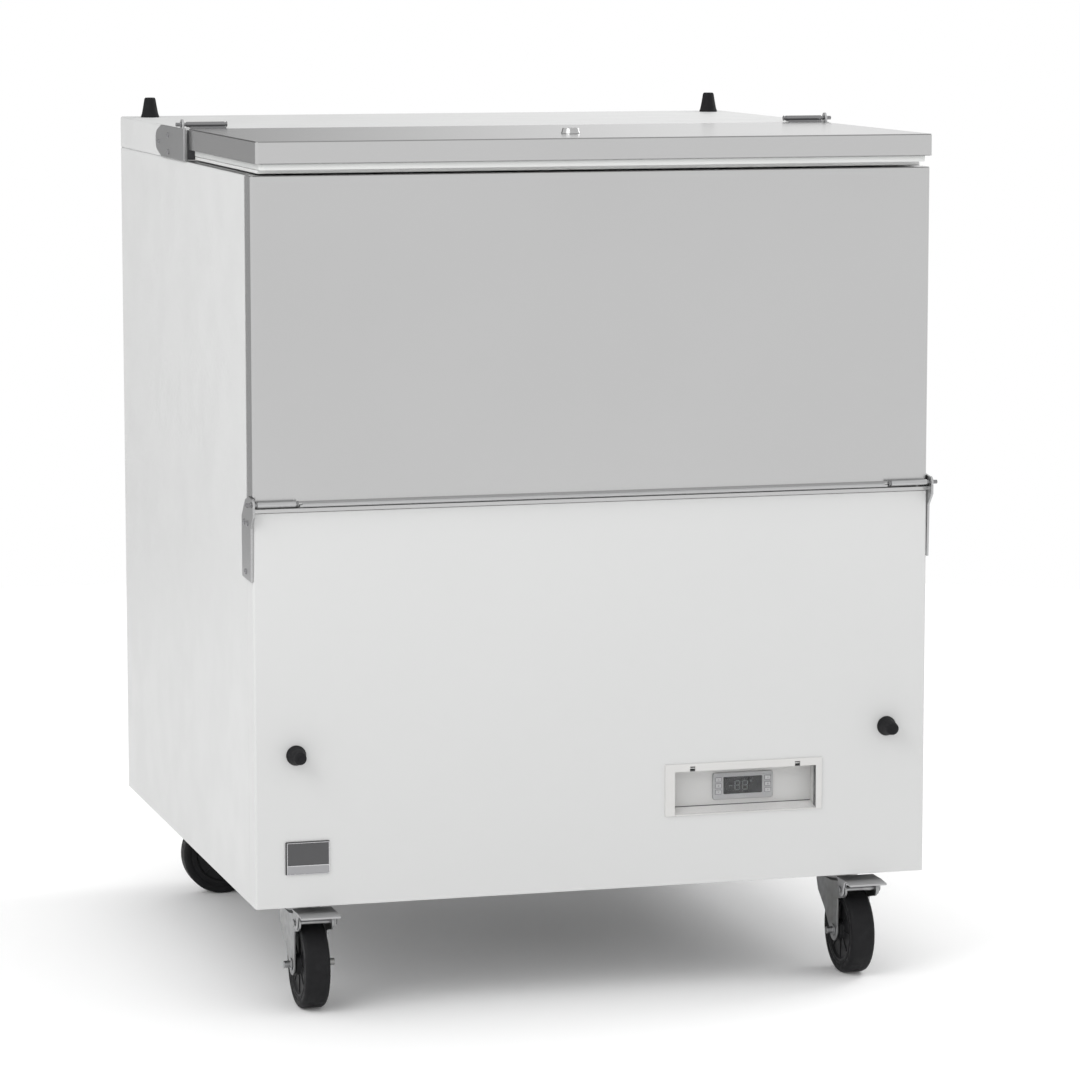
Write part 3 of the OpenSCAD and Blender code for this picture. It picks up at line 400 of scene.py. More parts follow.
def zinc_plate():
    colour = (0.37, 0.373, 0.378)
    s = Surface("zinc_plate", colour, 0.38, metal=1.0)
    s.tint(s.noise(9, 2, kind="cells"), shaded(colour, 0.82), 0.1, 0.9)
    s.tint(s.noise(40, 4), (0.30, 0.30, 0.29), 0.45, 0.8)
    s.gloss(s.noise(12, 3), 0.3, 0.46)
    return s.bump(s.noise(1.5, 3), 0.01).made


def moulded(name, colour, rough=0.48, grain=0.5, shine=0.5):
    """Moulded plastic with a fine spark-eroded grain."""
    s = Surface(name, colour, rough, Specular_IOR_Level=shine)
    s.tint(s.noise(90, 2), shaded(colour, 0.98))
    s.gloss(s.noise(8, 3), rough - 0.05, rough + 0.06)
    return s.bump(s.noise(grain, 2), 0.008).made


def rubber(name, colour, rough=0.62, dust=1.4):
    """Rubber that is a little dusty in patches."""
    s = Surface(name, colour, rough, Specular_IOR_Level=0.12)
    s.tint(s.noise(16, 5), shaded(colour, dust), 0.5, 0.85)
    s.gloss(s.noise(7, 3), rough - 0.1, rough + 0.12)
    return s.bump(s.noise(0.6, 3), 0.02).made


def liner_sheet():
    colour = (0.74, 0.76, 0.76)
    s = Surface("tank_sheet", colour, 0.34, Specular_IOR_Level=0.45)
    s.tint(s.noise(180, 3), shaded(colour, 0.96)).gloss(s.noise(30, 3), 0.28, 0.42)
    return s.bump(s.noise(5, 1), 0.02).made


def rigid_foam():
    colour = (0.74, 0.71, 0.62)
    s = Surface("rigid_foam", colour, 0.9)
    s.tint(s.noise(25, 4), shaded(colour, 0.86))
    return s.bump(s.noise(1.6, kind="cells"), 0.5).bump(s.noise(30, 3), 1.2).made


def display_glass():
    s = Surface("display_window", (0.010, 0.011, 0.012), 0.12, Coat_Weight=0.5)
    s.gloss(s.noise(4, 3), 0.08, 0.18)
    return s.bump(s.noise(12, 2), 0.004).made


def clear_sheet():
    s = Surface("clear_polycarbonate", (0.985, 0.988, 0.99), 0.02, Transmission_Weight=1.0, IOR=1.06)
    s.gloss(s.noise(6, 4), 0.01, 0.03)
    return s.bump(s.noise(40, 2), 0.01).made


def copper_tube():
    colour = (0.72, 0.36, 0.22)
    s = Surface("copper_tube", colour, 0.32, metal=1.0)
    s.tint(s.noise(18, 4), (0.42, 0.20, 0.12), 0.45, 0.75)
    s.gloss(s.noise(7, 3), 0.25, 0.5)
    return s.bump(s.noise(2, 2), 0.01).made


def enamel():
    colour = (0.018, 0.018, 0.02)
    s = Surface("black_enamel", colour, 0.3, Coat_Weight=0.3)
    s.tint(s.noise(25, 4), (0.06, 0.06, 0.06), 0.6, 0.85).gloss(s.noise(10, 3), 0.22, 0.42)
    return s.bump(s.noise(1.6, 2), 0.02).made


def fin_sheet():
    colour = (0.42, 0.43, 0.44)
    s = Surface("fin_aluminium", colour, 0.42, metal=1.0)
    s.tint(s.noise(14, 5), shaded(colour, 0.7), 0.5, 0.8)
    s.gloss(s.noise(5, 3), 0.34, 0.55)
    return s.bump(s.noise(1, 3), 0.02).made


def plated(name, colour, rough):
    """Bright plating with faint haze."""
    s = Surface(name, colour, rough, metal=1.0)
    s.tint(s.noise(20, 4), shaded(colour, 0.86), 0.5, 0.8)
    s.gloss(s.noise(6, 3), rough - 0.05, rough + 0.1)
    return s.bump(s.noise(1.5, 2), 0.004).made


def display_segment():
    s = Surface("display_segment", (0.16, 0.17, 0.17), 0.5)
    s.tint(s.noise(3, 2), (0.12, 0.13, 0.13))
    return s.bump(s.noise(0.4), 0.004).made


WHITE = powder_coat()
STEEL = brushed("stainless", (0.535, 0.535, 0.535), 0.235, streak=0.996, depth=0.0004, haze=0.006)
# A darker copy of the stainless: painted shade on folds, hems and the flange caps.
STEEL_SHADE = brushed("stainless_painted_shade", (0.28, 0.28, 0.28), 0.34, streak=0.97)
HINGE = brushed("hinge_steel", (0.48, 0.482, 0.485), 0.32, streak=0.85, along=(30, 1, 1), size=0.6)
# A darker copy of the hinge steel: painted shade on the hinge leaves and pins.
HINGE_SHADE = brushed("hinge_steel_painted_shade", (0.24, 0.24, 0.245), 0.24, streak=0.9, along=(30, 1, 1), size=0.6)
PEDAL = brushed("pedal_steel", (0.42, 0.42, 0.425), 0.5, streak=0.93, along=(20, 1, 1), metal=0.35)
SCREW = brushed("screw_steel", (0.30, 0.30, 0.31), 0.36, streak=0.85, along=(1, 1, 1), size=0.5)
ZINC = zinc_plate()
LINER = moulded("white_liner", (0.76, 0.77, 0.76), 0.36, 1.2)
TANK = liner_sheet()
FOAM = rigid_foam()
SEAL_WHITE = rubber("white_seal", (0.88, 0.88, 0.875), 0.5, 0.96)
SEAL_GREY = rubber("grey_seal", (0.10, 0.10, 0.105), 0.55, 1.4)
RUBBER = rubber("black_rubber", (0.013, 0.013, 0.014))
TREAD = rubber("tread", (0.013, 0.013, 0.014), 0.55, 1.3)
WHITE_PLASTIC = moulded("white_plastic", (0.61, 0.605, 0.595))
# A lighter copy of the bezel plastic: painted light on the recess ramp.
LIT_PLASTIC = moulded("plastic_painted_light", (0.82, 0.81, 0.80))
GREY_PLASTIC = moulded("grey_plastic", (0.40, 0.40, 0.405))
KEY_PLASTIC = moulded("key_plastic", (0.50, 0.50, 0.505), 0.42)
# Near-black plastic for painted shade: slot backs, key gaps, the recess groove and the badge's edges.
SHADE_PLASTIC = moulded("plastic_painted_shade", (0.06, 0.06, 0.062), 0.45, shine=0.3)
BLACK_PLASTIC = moulded("black_plastic", (0.014, 0.014, 0.015), 0.45, shine=0.18)
GLASS = display_glass()
CLEAR = clear_sheet()
COPPER = copper_tube()
ENAMEL = enamel()
FINS = fin_sheet()
CHROME = plated("chromed_wire", (0.70, 0.70, 0.71), 0.14)
NICKEL = plated("nickel", (0.45, 0.45, 0.45), 0.22)
BADGE_RIM = plated("badge_rim", (0.58, 0.58, 0.59), 0.2)
BADGE_FIELD = brushed("badge_field", (0.105, 0.105, 0.108), 0.36, 0.8, (60, 1, 1), 0.3)
BADGE_BAND = brushed("badge_band", (0.34, 0.34, 0.35), 0.34, 0.8, (60, 1, 1), 0.3)
SEGMENT = display_segment()
KEY_INK = moulded("key_mark", (0.30, 0.30, 0.305), 0.5, 0.3)


# ---------- cabinet ----------

def shell():
    """The outer sheets, each with softened edges."""
    low, high = cab("rear_ledge")

    def ledge_nose(a, b):
        return min(a.z, b.z) > high.z - 0.1 and max(a.y, b.y) < low.y + 0.1

    for node in ("side_panel_left", "side_panel_right", "front_panel", "rear_panel"):
        softened(node, WHITE)
    softened("rear_ledge", WHITE, bends=[(ledge_nose, 1.6)])
    softened("rear_grille", WHITE, 0.0)
    softened("base_pan", ZINC)
    softened("sill_trim", STEEL, 0.25)
    softened("opening_trim", STEEL, 0.25)


def rim_trims():
    """The ribbed strip that the lid closes against, and the caps on the side flanges."""
    low, high = cab("rear_ledge")
    top = cab("side_panel_left")[1].z
    y, z0, z1, ribs = low.y, top + 2, high.z - 2, 4
    outline = [(y, z0), (y - 0.4, z0 + 0.3)]
    for k in range(ribs):
        z = z0 + 1 + k * (z1 - z0) / ribs
        outline += [(y - 0.8, z), (y - 0.8, z + 7), (y - 0.4, z + 7.4), (y - 0.4, z + 8.2)]
    outline += [(y - 0.4, z1 - 0.3), (y, z1)]
    # The strip's dark grey is painted shade: it darkens the ledge front where the gap under the lid's
    # rear corners lies in shade.
    make("ledge_strip_painted_shade", [beam(outline, low.x + 3, high.x - 3)], SEAL_GREY, "cabinet")
    # The flange caps are in the darker stainless: painted shade on the rim under the lid.
    inner_x, outer_x, cap_y = 424, 437, 36
    across = [(inner_x, top), (inner_x, top + 0.3), (inner_x + 0.6, top + 0.5),
              (outer_x - 0.6, top + 0.5), (outer_x, top + 0.2), (outer_x, top)]
    caps = [slab([(side * x, z) for x, z in across], cap_y, y) for side in (-1, 1)]
    make("flange_caps", caps, STEEL_SHADE, "cabinet")


def tank():
    """The tank with coved inside corners, and what lies in and round it."""
    low, high = cab("inner_liner")
    floor = cab("floor_rack")[0].z
    wall_x = cab("floor_rack")[1].x + 5

    def inside_corner(a, b):
        middle = (a + b) / 2
        upright = abs(a.z - b.z) > 100 and wall_x < abs(middle.x) < wall_x + 5
        along = abs(a.z - b.z) < 0.1 and abs(middle.z - floor) < 0.5
        return (upright and low.y + 20 < middle.y < high.y - 20) or along

    softened("inner_liner", TANK, 0.3, bends=[(inside_corner, 7)])
    softened("floor_rack", CHROME, 0.0)
    softened("drain_fitting", GREY_PLASTIC, 0.5)
    softened("drain_plug", RUBBER, 1.0, 3)
    repainted("insulation", FOAM)
    repainted("evaporator_coil", COPPER)


def fittings():
    """Bumpers, cable gland and badge."""
    tall = 27
    profile = [(0, 0), (12.5, 0), (12.5, 1.8), (12.2, 2.6), (11.4, 4.5), (10.5, 9), (9.4, 15),
               (8.4, 21), (7.8, 24.6), (7.2, 26.2), (6.2, tall), (4.4, tall), (3.4, 26.3), (0, 26)]
    stops = []
    for low, high in solids("rubber_bumpers"):
        middle = (low + high) / 2
        on_ledge = middle.y > 100
        if on_ledge:
            axis, foot = (0, 0, 1), Vector((middle.x, middle.y, high.z - tall))
        else:
            axis, foot = (0, -1, 0), Vector((middle.x, low.y + tall, middle.z))
        stops.append(moved(spun(profile), towards(axis, foot)))
    make("rubber_stops", stops, RUBBER, "cabinet", stands_for=["rubber_bumpers"])
    softened("cable_gland", BLACK_PLASTIC, 0.5)
    badge()


def badge():
    """A blank plate: a bright rim with a bar across, round a dark field and a paler band."""
    low, high = cab("badge_plate")
    half, bar_z, front = 0.65, low.z + 11.5, low.y
    shade_strip_x, shade_strip_z = low.x + 1.5, high.z - 1.1
    x0, x1, z0, z1 = shade_strip_x + half, high.x - half, low.z + half, shade_strip_z - half
    line = rounded(x0, z0, x1, z1, 1.1, 5)
    profile = [(-half, 0), (half, 0), (half, 1.4), (half / 2, 2), (-half / 2, 2), (-half, 1.5)]
    path = [(Vector((x, high.y, z)), Vector((nx, 0, nz)), Vector((0, -1, 0)))
            for (x, z), (nx, nz) in zip(line, normals(line))]
    bar = block((x0, front + 0.2, bar_z - 0.5), (x1, high.y - 0.4, bar_z + 0.5))
    back = slab(rounded(x0, z0, x1, z1, 1, 4), high.y - 0.6, high.y)
    make("badge_rim", [swept(path, profile, True), bar, back], BADGE_RIM, "cabinet",
         0.15, stands_for=["badge_plate"])
    # A dark strip of painted shade along the plate's left and top edges, outside the rim.
    edge = [(low.x, low.z + 1), (low.x, high.z - 1.2), (low.x + 1.2, high.z), (high.x - 1, high.z),
            (high.x, shade_strip_z + 0.2), (high.x, shade_strip_z), (shade_strip_x, shade_strip_z), (shade_strip_x, low.z + 1)]
    make("badge_painted_shade", [slab(edge, front, high.y)], SHADE_PLASTIC, "cabinet", 0.15)
    field = slab(rounded(x0, bar_z, x1, z1, 1, 4), front + 0.7, high.y - 0.5)
    band = slab(rounded(x0, z0, x1, bar_z, 1, 4), front + 0.7, high.y - 0.5)
    make("badge_field", [field], BADGE_FIELD, "cabinet", 0.1)
    make("badge_band", [band], BADGE_BAND, "cabinet", 0.1)


# ---------- screws ----------

def screw_head(radius, height):
    """A pan head with a cross recess, standing on z = 0."""
    rows = []
    rings, steps = 14, 48
    arm_half, arm_end, recess_depth = radius * 0.12, radius * 0.56, height * 0.45
    for i in range(rings + 1):
        r = radius * i / rings
        crown = height * math.sqrt(max(0.0, 1 - (r / radius) ** 2 * 0.82))
        row = []
        for k in range(steps + 1):
            a = math.tau * k / steps
            x, y = r * math.cos(a), r * math.sin(a)
            arm = min(abs(x), abs(y)) < arm_half and max(abs(x), abs(y)) < arm_end
            row.append((x, y, crown - (recess_depth if arm else 0)))
        rows.append(row)
    rows.append([(x, y, 0) for x, y, _ in rows[-1]])
    return grid(rows)


def fasteners():
    """Cross-head screws in the hinge brackets, and hexagon bolts in the caster plates."""
    pan_top = cab("base_pan")[1].z
    head_r, head_h = 3.5, 2
    heads = []
    for low, high in solids("fasteners"):
        if low.z < pan_top:
            continue
        side = 1 if low.x > 0 else -1
        end = high.x if side > 0 else low.x
        middle = (low + high) / 2
        any_turn = math.radians(17 * middle.z)
        head = moved(screw_head(head_r, head_h), Matrix.Rotation(any_turn, 4, "Z"))
        heads.append(moved(head, towards((side, 0, 0), (end - head_h * side, middle.y, middle.z))))
    softened("fasteners", ZINC, 0.5, keep=lambda p: p.z < pan_top)
    make("bracket_screws", heads, SCREW, "cabinet")


# ---------- controller ----------

def eight(x, z, w, h):
    """The seven bars of an 8 whose lower left corner is (x, z), each as (x0, z0, x1, z1)."""
    bar, gap = w * 0.16, w * 0.05
    bars = [(x + bar + gap, z + dz, x + w - bar - gap, z + dz + bar)
            for dz in (h - bar, (h - bar) / 2, 0)]
    for dz in (bar / 2 + gap, h / 2 + gap):
        for dx in (0, w - bar):
            bars.append((x + dx, z + dz, x + dx + bar, z + dz + h / 2 - bar / 2 - 2 * gap))
    return bars


def controller():
    """The bezel and its recess, the controller with its keys, the display and the cover."""
    low, high = cab("controller_body")
    outer_low, outer_high = cab("controller_bezel")

    def corner(a, b):
        middle = (a + b) / 2
        return (abs(a.y - b.y) > 1 and abs(a.x - b.x) + abs(a.z - b.z) < 0.1
                and min(middle.x - low.x, high.x - middle.x) < 0.1
                and min(middle.z - low.z, high.z - middle.z) < 0.1)

    def rim(a, b):
        gaps = [(min(p.x - low.x, high.x - p.x), min(p.z - low.z, high.z - p.z)) for p in (a, b)]
        near = all(min(gap) < 0.05 or max(gap) < 3.6 for gap in gaps)
        return near and max(a.y, b.y) < low.y + 0.05

    def border(a, b):
        near = all(min(p.x - outer_low.x, outer_high.x - p.x, p.z - outer_low.z, outer_high.z - p.z)
                   < 0.05 for p in (a, b))
        return near and max(a.y, b.y) < outer_low.y + 0.05

    softened("controller_bezel", WHITE_PLASTIC, 0.0, bends=[(border, 0.5)])
    softened("controller_body", GREY_PLASTIC, 0.0, bends=[(corner, 3.5), (rim, 0.7)])
    softened("controller_cover", CLEAR, 0.15)
    recess()
    display()
    for node, row in KEYS:
        key(node, row)


def display():
    """The display's lens, and -88 with a dot on it."""
    low, high = cab("display_window")
    make("display_lens", [slab(rounded(low.x, low.z, high.x, high.z, 1.6), low.y, high.y)], GLASS,
         "cabinet", 0.2, stands_for=["display_window"])
    w, h = 7.6, 12.5
    x, z, y = low.x + 15, low.z + 4.5, low.y
    minus = (x - 7.5, z + h / 2 - 0.6, x - 3, z + h / 2 + 0.6)
    dot = (x + 2 * w + 5.4, z + h - 3, x + 2 * w + 8.4, z + h)
    bars = [*eight(x, z, w, h), *eight(x + w + 2.6, z, w, h), minus, dot]
    make("display_digits", [block((a, y - 0.05, b), (c, y + 0.1, d)) for a, b, c, d in bars],
         SEGMENT, "cabinet")


def recess():
    """The bezel recess's ramp in painted light, and painted shade in its groove, slots and key gaps."""
    low, high = cab("controller_bezel")
    x0, x1 = cab("controller_cover")[0].x - 0.7, cab("controller_cover")[1].x + 0.7
    z0, z1 = low.z + 0.7, high.z - 9.8
    front, back = low.y, high.y - 3
    # The ramp's skin is in the lighter plastic: painted light where the ramp faces up.
    ramp = [(front + 0.6, z0 + 0.25), (back - 1.6, z0 + 6.45), (back - 1.6, z0 + 6.75),
            (front + 0.6, z0 + 0.55)]
    make("recess_ramp", [beam(ramp, x0, x1)], LIT_PLASTIC, "cabinet")
    # A dark groove behind the ramp and a dark strip up the recess's side: painted shade.
    groove = [(back - 1.4, z0 + 6.4), (back - 0.05, z0 + 6.9), (back - 0.05, z0 + 7.5),
              (back - 0.3, z0 + 7.5), (back - 0.5, z0 + 7.1), (back - 1.4, z0 + 6.8)]
    side = [(front + 0.3, z0 + 1), (6, z0 + 3.4), (6, z1 - 0.5), (front + 0.3, z1 - 0.5)]
    shapes = [beam(groove, x0, x1), beam(side, x1, x1 + 0.28)]
    # Dark sheets of painted shade at the back, top and bottom of each slot.
    for slot_x in (126, 266):
        left, right = slot_x - 3.4, slot_x + 3.4
        shapes.append(slab(rounded(left, z1 + 0.1, right, z1 + 6.1, 0.5, 2), 2.7, 3.9))
        shapes.append(slab(rounded(left, z1 + 5.7, right, z1 + 6.15, 0.1, 1), front + 0.2, 3))
        shapes.append(slab(rounded(left, z1 + 0.1, right, z1 + 1.4, 0.1, 1), front + 0.9, 3))
    # Dark rings of painted shade in the gaps round the keys.
    face, gap = cab("controller_body")[0].y, 0.5
    for node, _ in KEYS:
        a, b = cab(node)
        around = rounded(a.x - gap, a.z - gap, b.x + gap, b.z + gap, 1, 3)
        shapes.append(slab(around, face - 0.06, face + 0.4))
    make("recess_painted_shade", shapes, SHADE_PLASTIC, "cabinet")


def normals(outline):
    """The outward normals of a closed outline that runs anticlockwise."""
    n = len(outline)
    found = []
    for i in range(n):
        before, after = outline[i - 1], outline[(i + 1) % n]
        along = Vector((after[0] - before[0], after[1] - before[1])).normalized()
        found.append((along.y, -along.x))
    return found


def key(node, row):
    """A key cap with a small raised mark."""
    softened(node, KEY_PLASTIC, 0.5, 3)
    low, high = cab(node)
    x, z, y = (low.x + high.x) / 2, (low.z + high.z) / 2, low.y
    marks = {
        "top": [(-1.3, -0.8), (1.3, -0.8), (0, 1.1)],
        "middle": [(-1.1, -1.1), (1.1, -1.1), (1.1, 1.1), (-1.1, 1.1)],
        "bottom": [(-1.3, 0.8), (0, -1.1), (1.3, 0.8)],
    }
    outline = [(x + dx, z + dz) for dx, dz in marks[row]]
    make(node + ".mark", [slab(outline, y - 0.04, y + 0.3)], KEY_INK, BODY[node])


# ---------- seals ----------

def seal_profile(width, height):
    """A flange with a hollow-looking bulb: (out, up) points, with up away from the panel."""
    bulb = arc(width * 0.12, height * 0.5, height * 0.5, -78, 78, 8)
    foot = [(-width / 2, 0), (width * 0.1, 0)]
    lip = [(width * 0.05, height * 0.98), (-width * 0.12, height * 0.72), (-width * 0.2, height * 0.4),
           (-width / 2, height * 0.3)]
    reach = max(x for x, _ in bulb)
    return foot + [(x / reach * width / 2, y) for x, y in bulb] + lip


def seals():
    """The lid's seal all round, and the door's along its sides and bottom."""
    low, high = cab("lid_gasket")
    width = 12
    half, tall = width / 2, high.z - low.z
    inset = half - 2.5
    middle, reach = (low + high) / 2, (high - low) / 2
    path = []
    for nx, ny in ((-1, -1), (1, -1), (1, 1), (-1, 1)):
        x, y = middle.x + nx * (reach.x - inset), middle.y + ny * (reach.y - inset)
        path.append((Vector((x, y, high.z)), Vector((nx, ny, 0)), Vector((0, 0, -1))))
    profile = [(-half, 0), (half - 1.6, 0), (half - 1.6, 0.7), (half - 0.3, 0.9), (half, 1.2),
               (half, tall - 0.9), (half - 0.3, tall - 0.5), (half - 1.8, tall - 0.1), (0, tall),
               (-half, tall * 0.4)]
    make("lid_seal", [swept(path, profile, True)], SEAL_WHITE, "lid",
         stands_for=["lid_gasket"])
    low, high = cab("door_gasket")
    x, z0, z1, r = high.x - half, low.z + half, high.z, 4
    line = [(-x, z1), *arc(-x + r, z0 + r, r, 180, 270, 6),
            *arc(x - r, z0 + r, r, 270, 360, 6), (x, z1)]
    ways = normals(line)
    ways[0], ways[-1] = (-1, 0), (1, 0)
    path = [(Vector((px, low.y, pz)), Vector((nx, 0, nz)), Vector((0, 1, 0)))
            for (px, pz), (nx, nz) in zip(line, ways)]
    profile = seal_profile(width, high.y - low.y)
    make("door_seal", [swept(path, profile, False)], SEAL_GREY, "drop_door",
         stands_for=["door_gasket"])


# ---------- lid and door ----------

# How far in from a skin's side its rounded corners reach.
CORNER = 4.1


def lid():
    """The lid's steel skin with folded edges, its inner pan, leaves and lock."""
    low, high = cab("lid_skin")

    def fold(a, b):
        outer = all(abs(p.x) > high.x - CORNER or p.y < low.y + CORNER or p.y > high.y - CORNER
                    for p in (a, b))
        return outer and min(a.z, b.z) > high.z - 0.05

    def hem(a, b):
        outer = all(abs(p.x) >= high.x - 0.1 or p.y <= low.y + 0.1 for p in (a, b))
        return outer and max(a.z, b.z) < low.z + 0.05

    # The folds and hems take the darker stainless: painted shade on the bends.
    softened("lid_skin", STEEL, 0.3, bends=[(fold, 1.4), (hem, 0.9)], bend_material=STEEL_SHADE)
    softened("lid_liner", LINER, 0.5)
    # The hinge leaves take the darker hinge steel: painted shade.
    softened("lid_hinge_leaves", HINGE_SHADE, 0.3)
    softened("lock_body", NICKEL, 0.6, 3)
    softened("lock_plug", NICKEL, 0.25)


def door():
    """The drop door's steel skin, inner liner and hinge strip."""
    low, high = cab("door_skin")

    def fold(a, b):
        level = abs(a.z - b.z) < 0.01 and (abs(a.z - low.z) < 0.05 or abs(a.z - high.z) < 0.05)
        return level and max(a.y, b.y) < low.y + CORNER

    # The top and bottom folds take the darker stainless: painted shade on the bends.
    softened("door_skin", STEEL, 0.3, bends=[(fold, 1.2)], bend_material=STEEL_SHADE)
    softened("door_liner", LINER, 0.6)
    softened("door_hinge_strip", HINGE, 0.25)
    z, out, back = 503, -7.5, -0.05
    fillet = [(out, z + 1.6), (-5, z + 1.9), (-2.5, z + 2.3), (back, z + 3.2), (back, z), (out, z)]
    make("door_strip_fillet", [beam(fillet, low.x + 4, high.x - 4)], STEEL, "drop_door")


def hinges():
    """The brackets at both hinges, and the pins. The lid brackets' rear corners are round."""
    behind = 530

    def nose(a, b):
        return abs(a.x - b.x) > 1 and abs(a.y - b.y) < 0.01 and min(a.y, b.y) > behind

    softened("lid_hinge_brackets", HINGE, 0.5, bends=[(nose, 9)])
    softened("door_hinge_brackets", HINGE, 0.5)
    # The pins take the darker hinge steel: painted shade.
    softened("hinge_pins", HINGE_SHADE, 0.4)


# ---------- casters ----------

def tyre_profile(r, half):
    """The tyre's half section: (radius, distance from the middle)."""
    crown = [(r, 0), (r - 0.05, half * 0.35)]
    shoulder = [(high, out) for out, high in arc(half - 5.5, r - 5.5, 5.5, 90, 18, 7)]
    wall = [(r - 9, half - 0.3), (r - 10.5, half - 1.2), (r - 12, half - 0.4), (r - 15, half - 0.6)]
    return crown + shoulder + wall


def wheel(corner):
    """A rubber tyre round a ribbed plastic centre, turning on a plain bearing."""
    node = "caster_wheel_" + corner
    low, high = cab(node)
    middle, size = (low + high) / 2, high - low
    stand = towards((1, 0, 0) if size.x < size.y else (0, 1, 0), middle)
    r, half, web = size.z / 2, 16, 12
    hub_r, hub_half, bore = 14, min(size.x, size.y) / 2, 6.05
    tyre = tyre_profile(r, half)
    inner_r = tyre[-1][0]
    tyre.append((inner_r, 0))
    ring = [*reversed(tyre[1:]), *((a, -b) for a, b in tyre)]
    make("tyre_" + corner, [moved(spun(ring, 96), stand)], TREAD, node, stands_for=[node])
    face = [(bore, 0), (bore, hub_half - 0.6), (bore + 1, hub_half), (hub_r - 2, hub_half),
            (hub_r - 0.6, hub_half - 1), (hub_r, web + 1), (hub_r + 1, web), (inner_r - 5, web),
            (inner_r - 3.4, web + 1.2), (inner_r - 2.6, half - 1.2), (inner_r + 0.3, half - 1),
            (inner_r + 0.3, 0)]
    centre = face + [(a, -b) for a, b in reversed(face)]
    shapes = [moved(spun(centre, 72), stand)]
    ribs = 8
    for k in range(ribs):
        for side in (-1, 1):
            z0, z1 = sorted((side * (web - 0.5), side * (web + 1.2)))
            rib = block((hub_r - 1, -1, z0), (inner_r - 4, 1, z1))
            shapes.append(moved(rib, stand @ Matrix.Rotation(math.tau * k / ribs, 4, "Z")))
    make("wheel_centre_" + corner, shapes, BLACK_PLASTIC, node, 0.4)


def casters():
    """The plates, forks and wheels, and the front casters' brake pedals."""
    softened("caster_plates", ZINC, 0.6)
    for corner in CORNERS:
        softened("caster_fork_" + corner, ZINC, 0.7, 3)
        wheel(corner)
    for side in ("left", "right"):
        softened("brake_pedal_" + side, PEDAL, 0.5, 3)


# ---------- machine bay ----------

def machine_bay():
    """The fan motor, the compressor, the pipework, the condenser and the fan."""
    softened("fan_motor", FINS, 0.4)
    softened("compressor", ENAMEL, 1.5, 3)
    repainted("refrigerant_lines", COPPER)
    condenser()
    fan()
    weld()


def condenser():
    """Wavy fins between two end plates, with rows of tubes through them."""
    low, high = cab("condenser")
    size = high - low
    fins, margin, half_sheet, foot = 62, 13, 0.15, 18
    shapes = []
    for x in (low.x + 6, high.x - 8):
        shapes.append(block((x, low.y, low.z), (x + 2, high.y, high.z)))
    for k in range(fins):
        x = low.x + margin + (size.x - 2 * margin) * k / (fins - 1)
        wave = [(x + 0.9 * math.sin(math.pi * j / 2), low.y + 3 + (size.y - 6) * j / 8)
                for j in range(9)]
        outline = ([(a - half_sheet, b) for a, b in wave]
                   + [(a + half_sheet, b) for a, b in reversed(wave)])
        shapes.append(prism(outline, low.z + foot, high.z))
    make("condenser_fins", shapes, FINS, "cabinet", stands_for=["condenser"])
    tubes = []
    rows, r, length = 4, 4.5, size.x - 8
    for y in (low.y + 14, high.y - 14):
        for j in range(rows):
            z = low.z + foot + (size.z - foot) * (j + 0.5) / rows
            tube = spun([(0, 0), (r, 0), (r, length), (0, length)], 24)
            tubes.append(moved(tube, towards((1, 0, 0), (low.x + 4, y, z))))
    make("condenser_tubes", tubes, COPPER, "cabinet")


def weld():
    """The seam round the compressor's shell."""
    low, high = cab("compressor")
    feet = 22
    middle = (low.x + 95, (low.y + high.y) / 2, (low.z + feet + high.z) / 2 + 14)
    ring = [(75, -3), (77.5, -2.2), (77.8, 0), (77.5, 2.2), (75, 3)]
    make("compressor_seam", [moved(spun(ring, 72), Matrix.Translation(middle))], ENAMEL, "cabinet")


def fan():
    """Five twisted blades on a domed hub."""
    low, high = cab("fan_blade")
    middle = (low + high) / 2
    stand = towards((0, -1, 0), (middle.x, high.y - 1.5, middle.z))
    bore, hub_r, blades, steps = 4.05, 15, 5, 8
    hub = [(bore, 0), (hub_r, 0), (16, 1), (16, 15), (14.5, 17.5), (10, 18.5), (bore, 18.5), (bore, 0)]
    shapes = [moved(spun(hub, 48), stand)]
    sheet = Vector((0, 0, 1.6))
    for k in range(blades):
        rows = []
        for i in range(steps + 1):
            r = hub_r + 62 * i / steps
            twist = math.radians(38 - 16 * i / steps)
            chord = 22 + 10 * math.sin(math.pi * (0.25 + 0.5 * i / steps))
            top = []
            for j in range(steps + 1):
                s = j / steps - 0.5
                camber = 2.2 * (0.25 - s * s) * 4
                top.append(Vector((r, chord * s * math.cos(twist),
                                   9 + chord * s * math.sin(twist) + camber)))
            under = [p - sheet for p in reversed(top)]
            rows.append([tuple(p) for p in [*top, *under, top[0]]])
        shapes.append(moved(capped(rows), stand @ Matrix.Rotation(math.tau * k / blades, 4, "Z")))
    make("fan_wheel", shapes, BLACK_PLASTIC, "fan_blade", stands_for=["fan_blade"])


def hidden_foam():
    """The foam inside the lid and inside the door."""
    for node in ("lid_foam", "door_foam"):
        repainted(node, FOAM, smooth=False)


# ---------- stage ----------

# The surround's even level, and the patches in it. Each patch has the azimuths and the
# elevations between which it fades in and out, in degrees, and how much it adds. Azimuth 0
# is behind the cabinet and 90 is to its right.
SKY = 1.0
PATCHES = [
    ((-45, -20), (7, 20), (-1, 4), (20, 38), -0.88),
    ((-40, -25), (-6, 7), (-25, -16), (-1, 5), -0.6),
]
KEY_WATTS = 45
SIDE_WATTS = 38


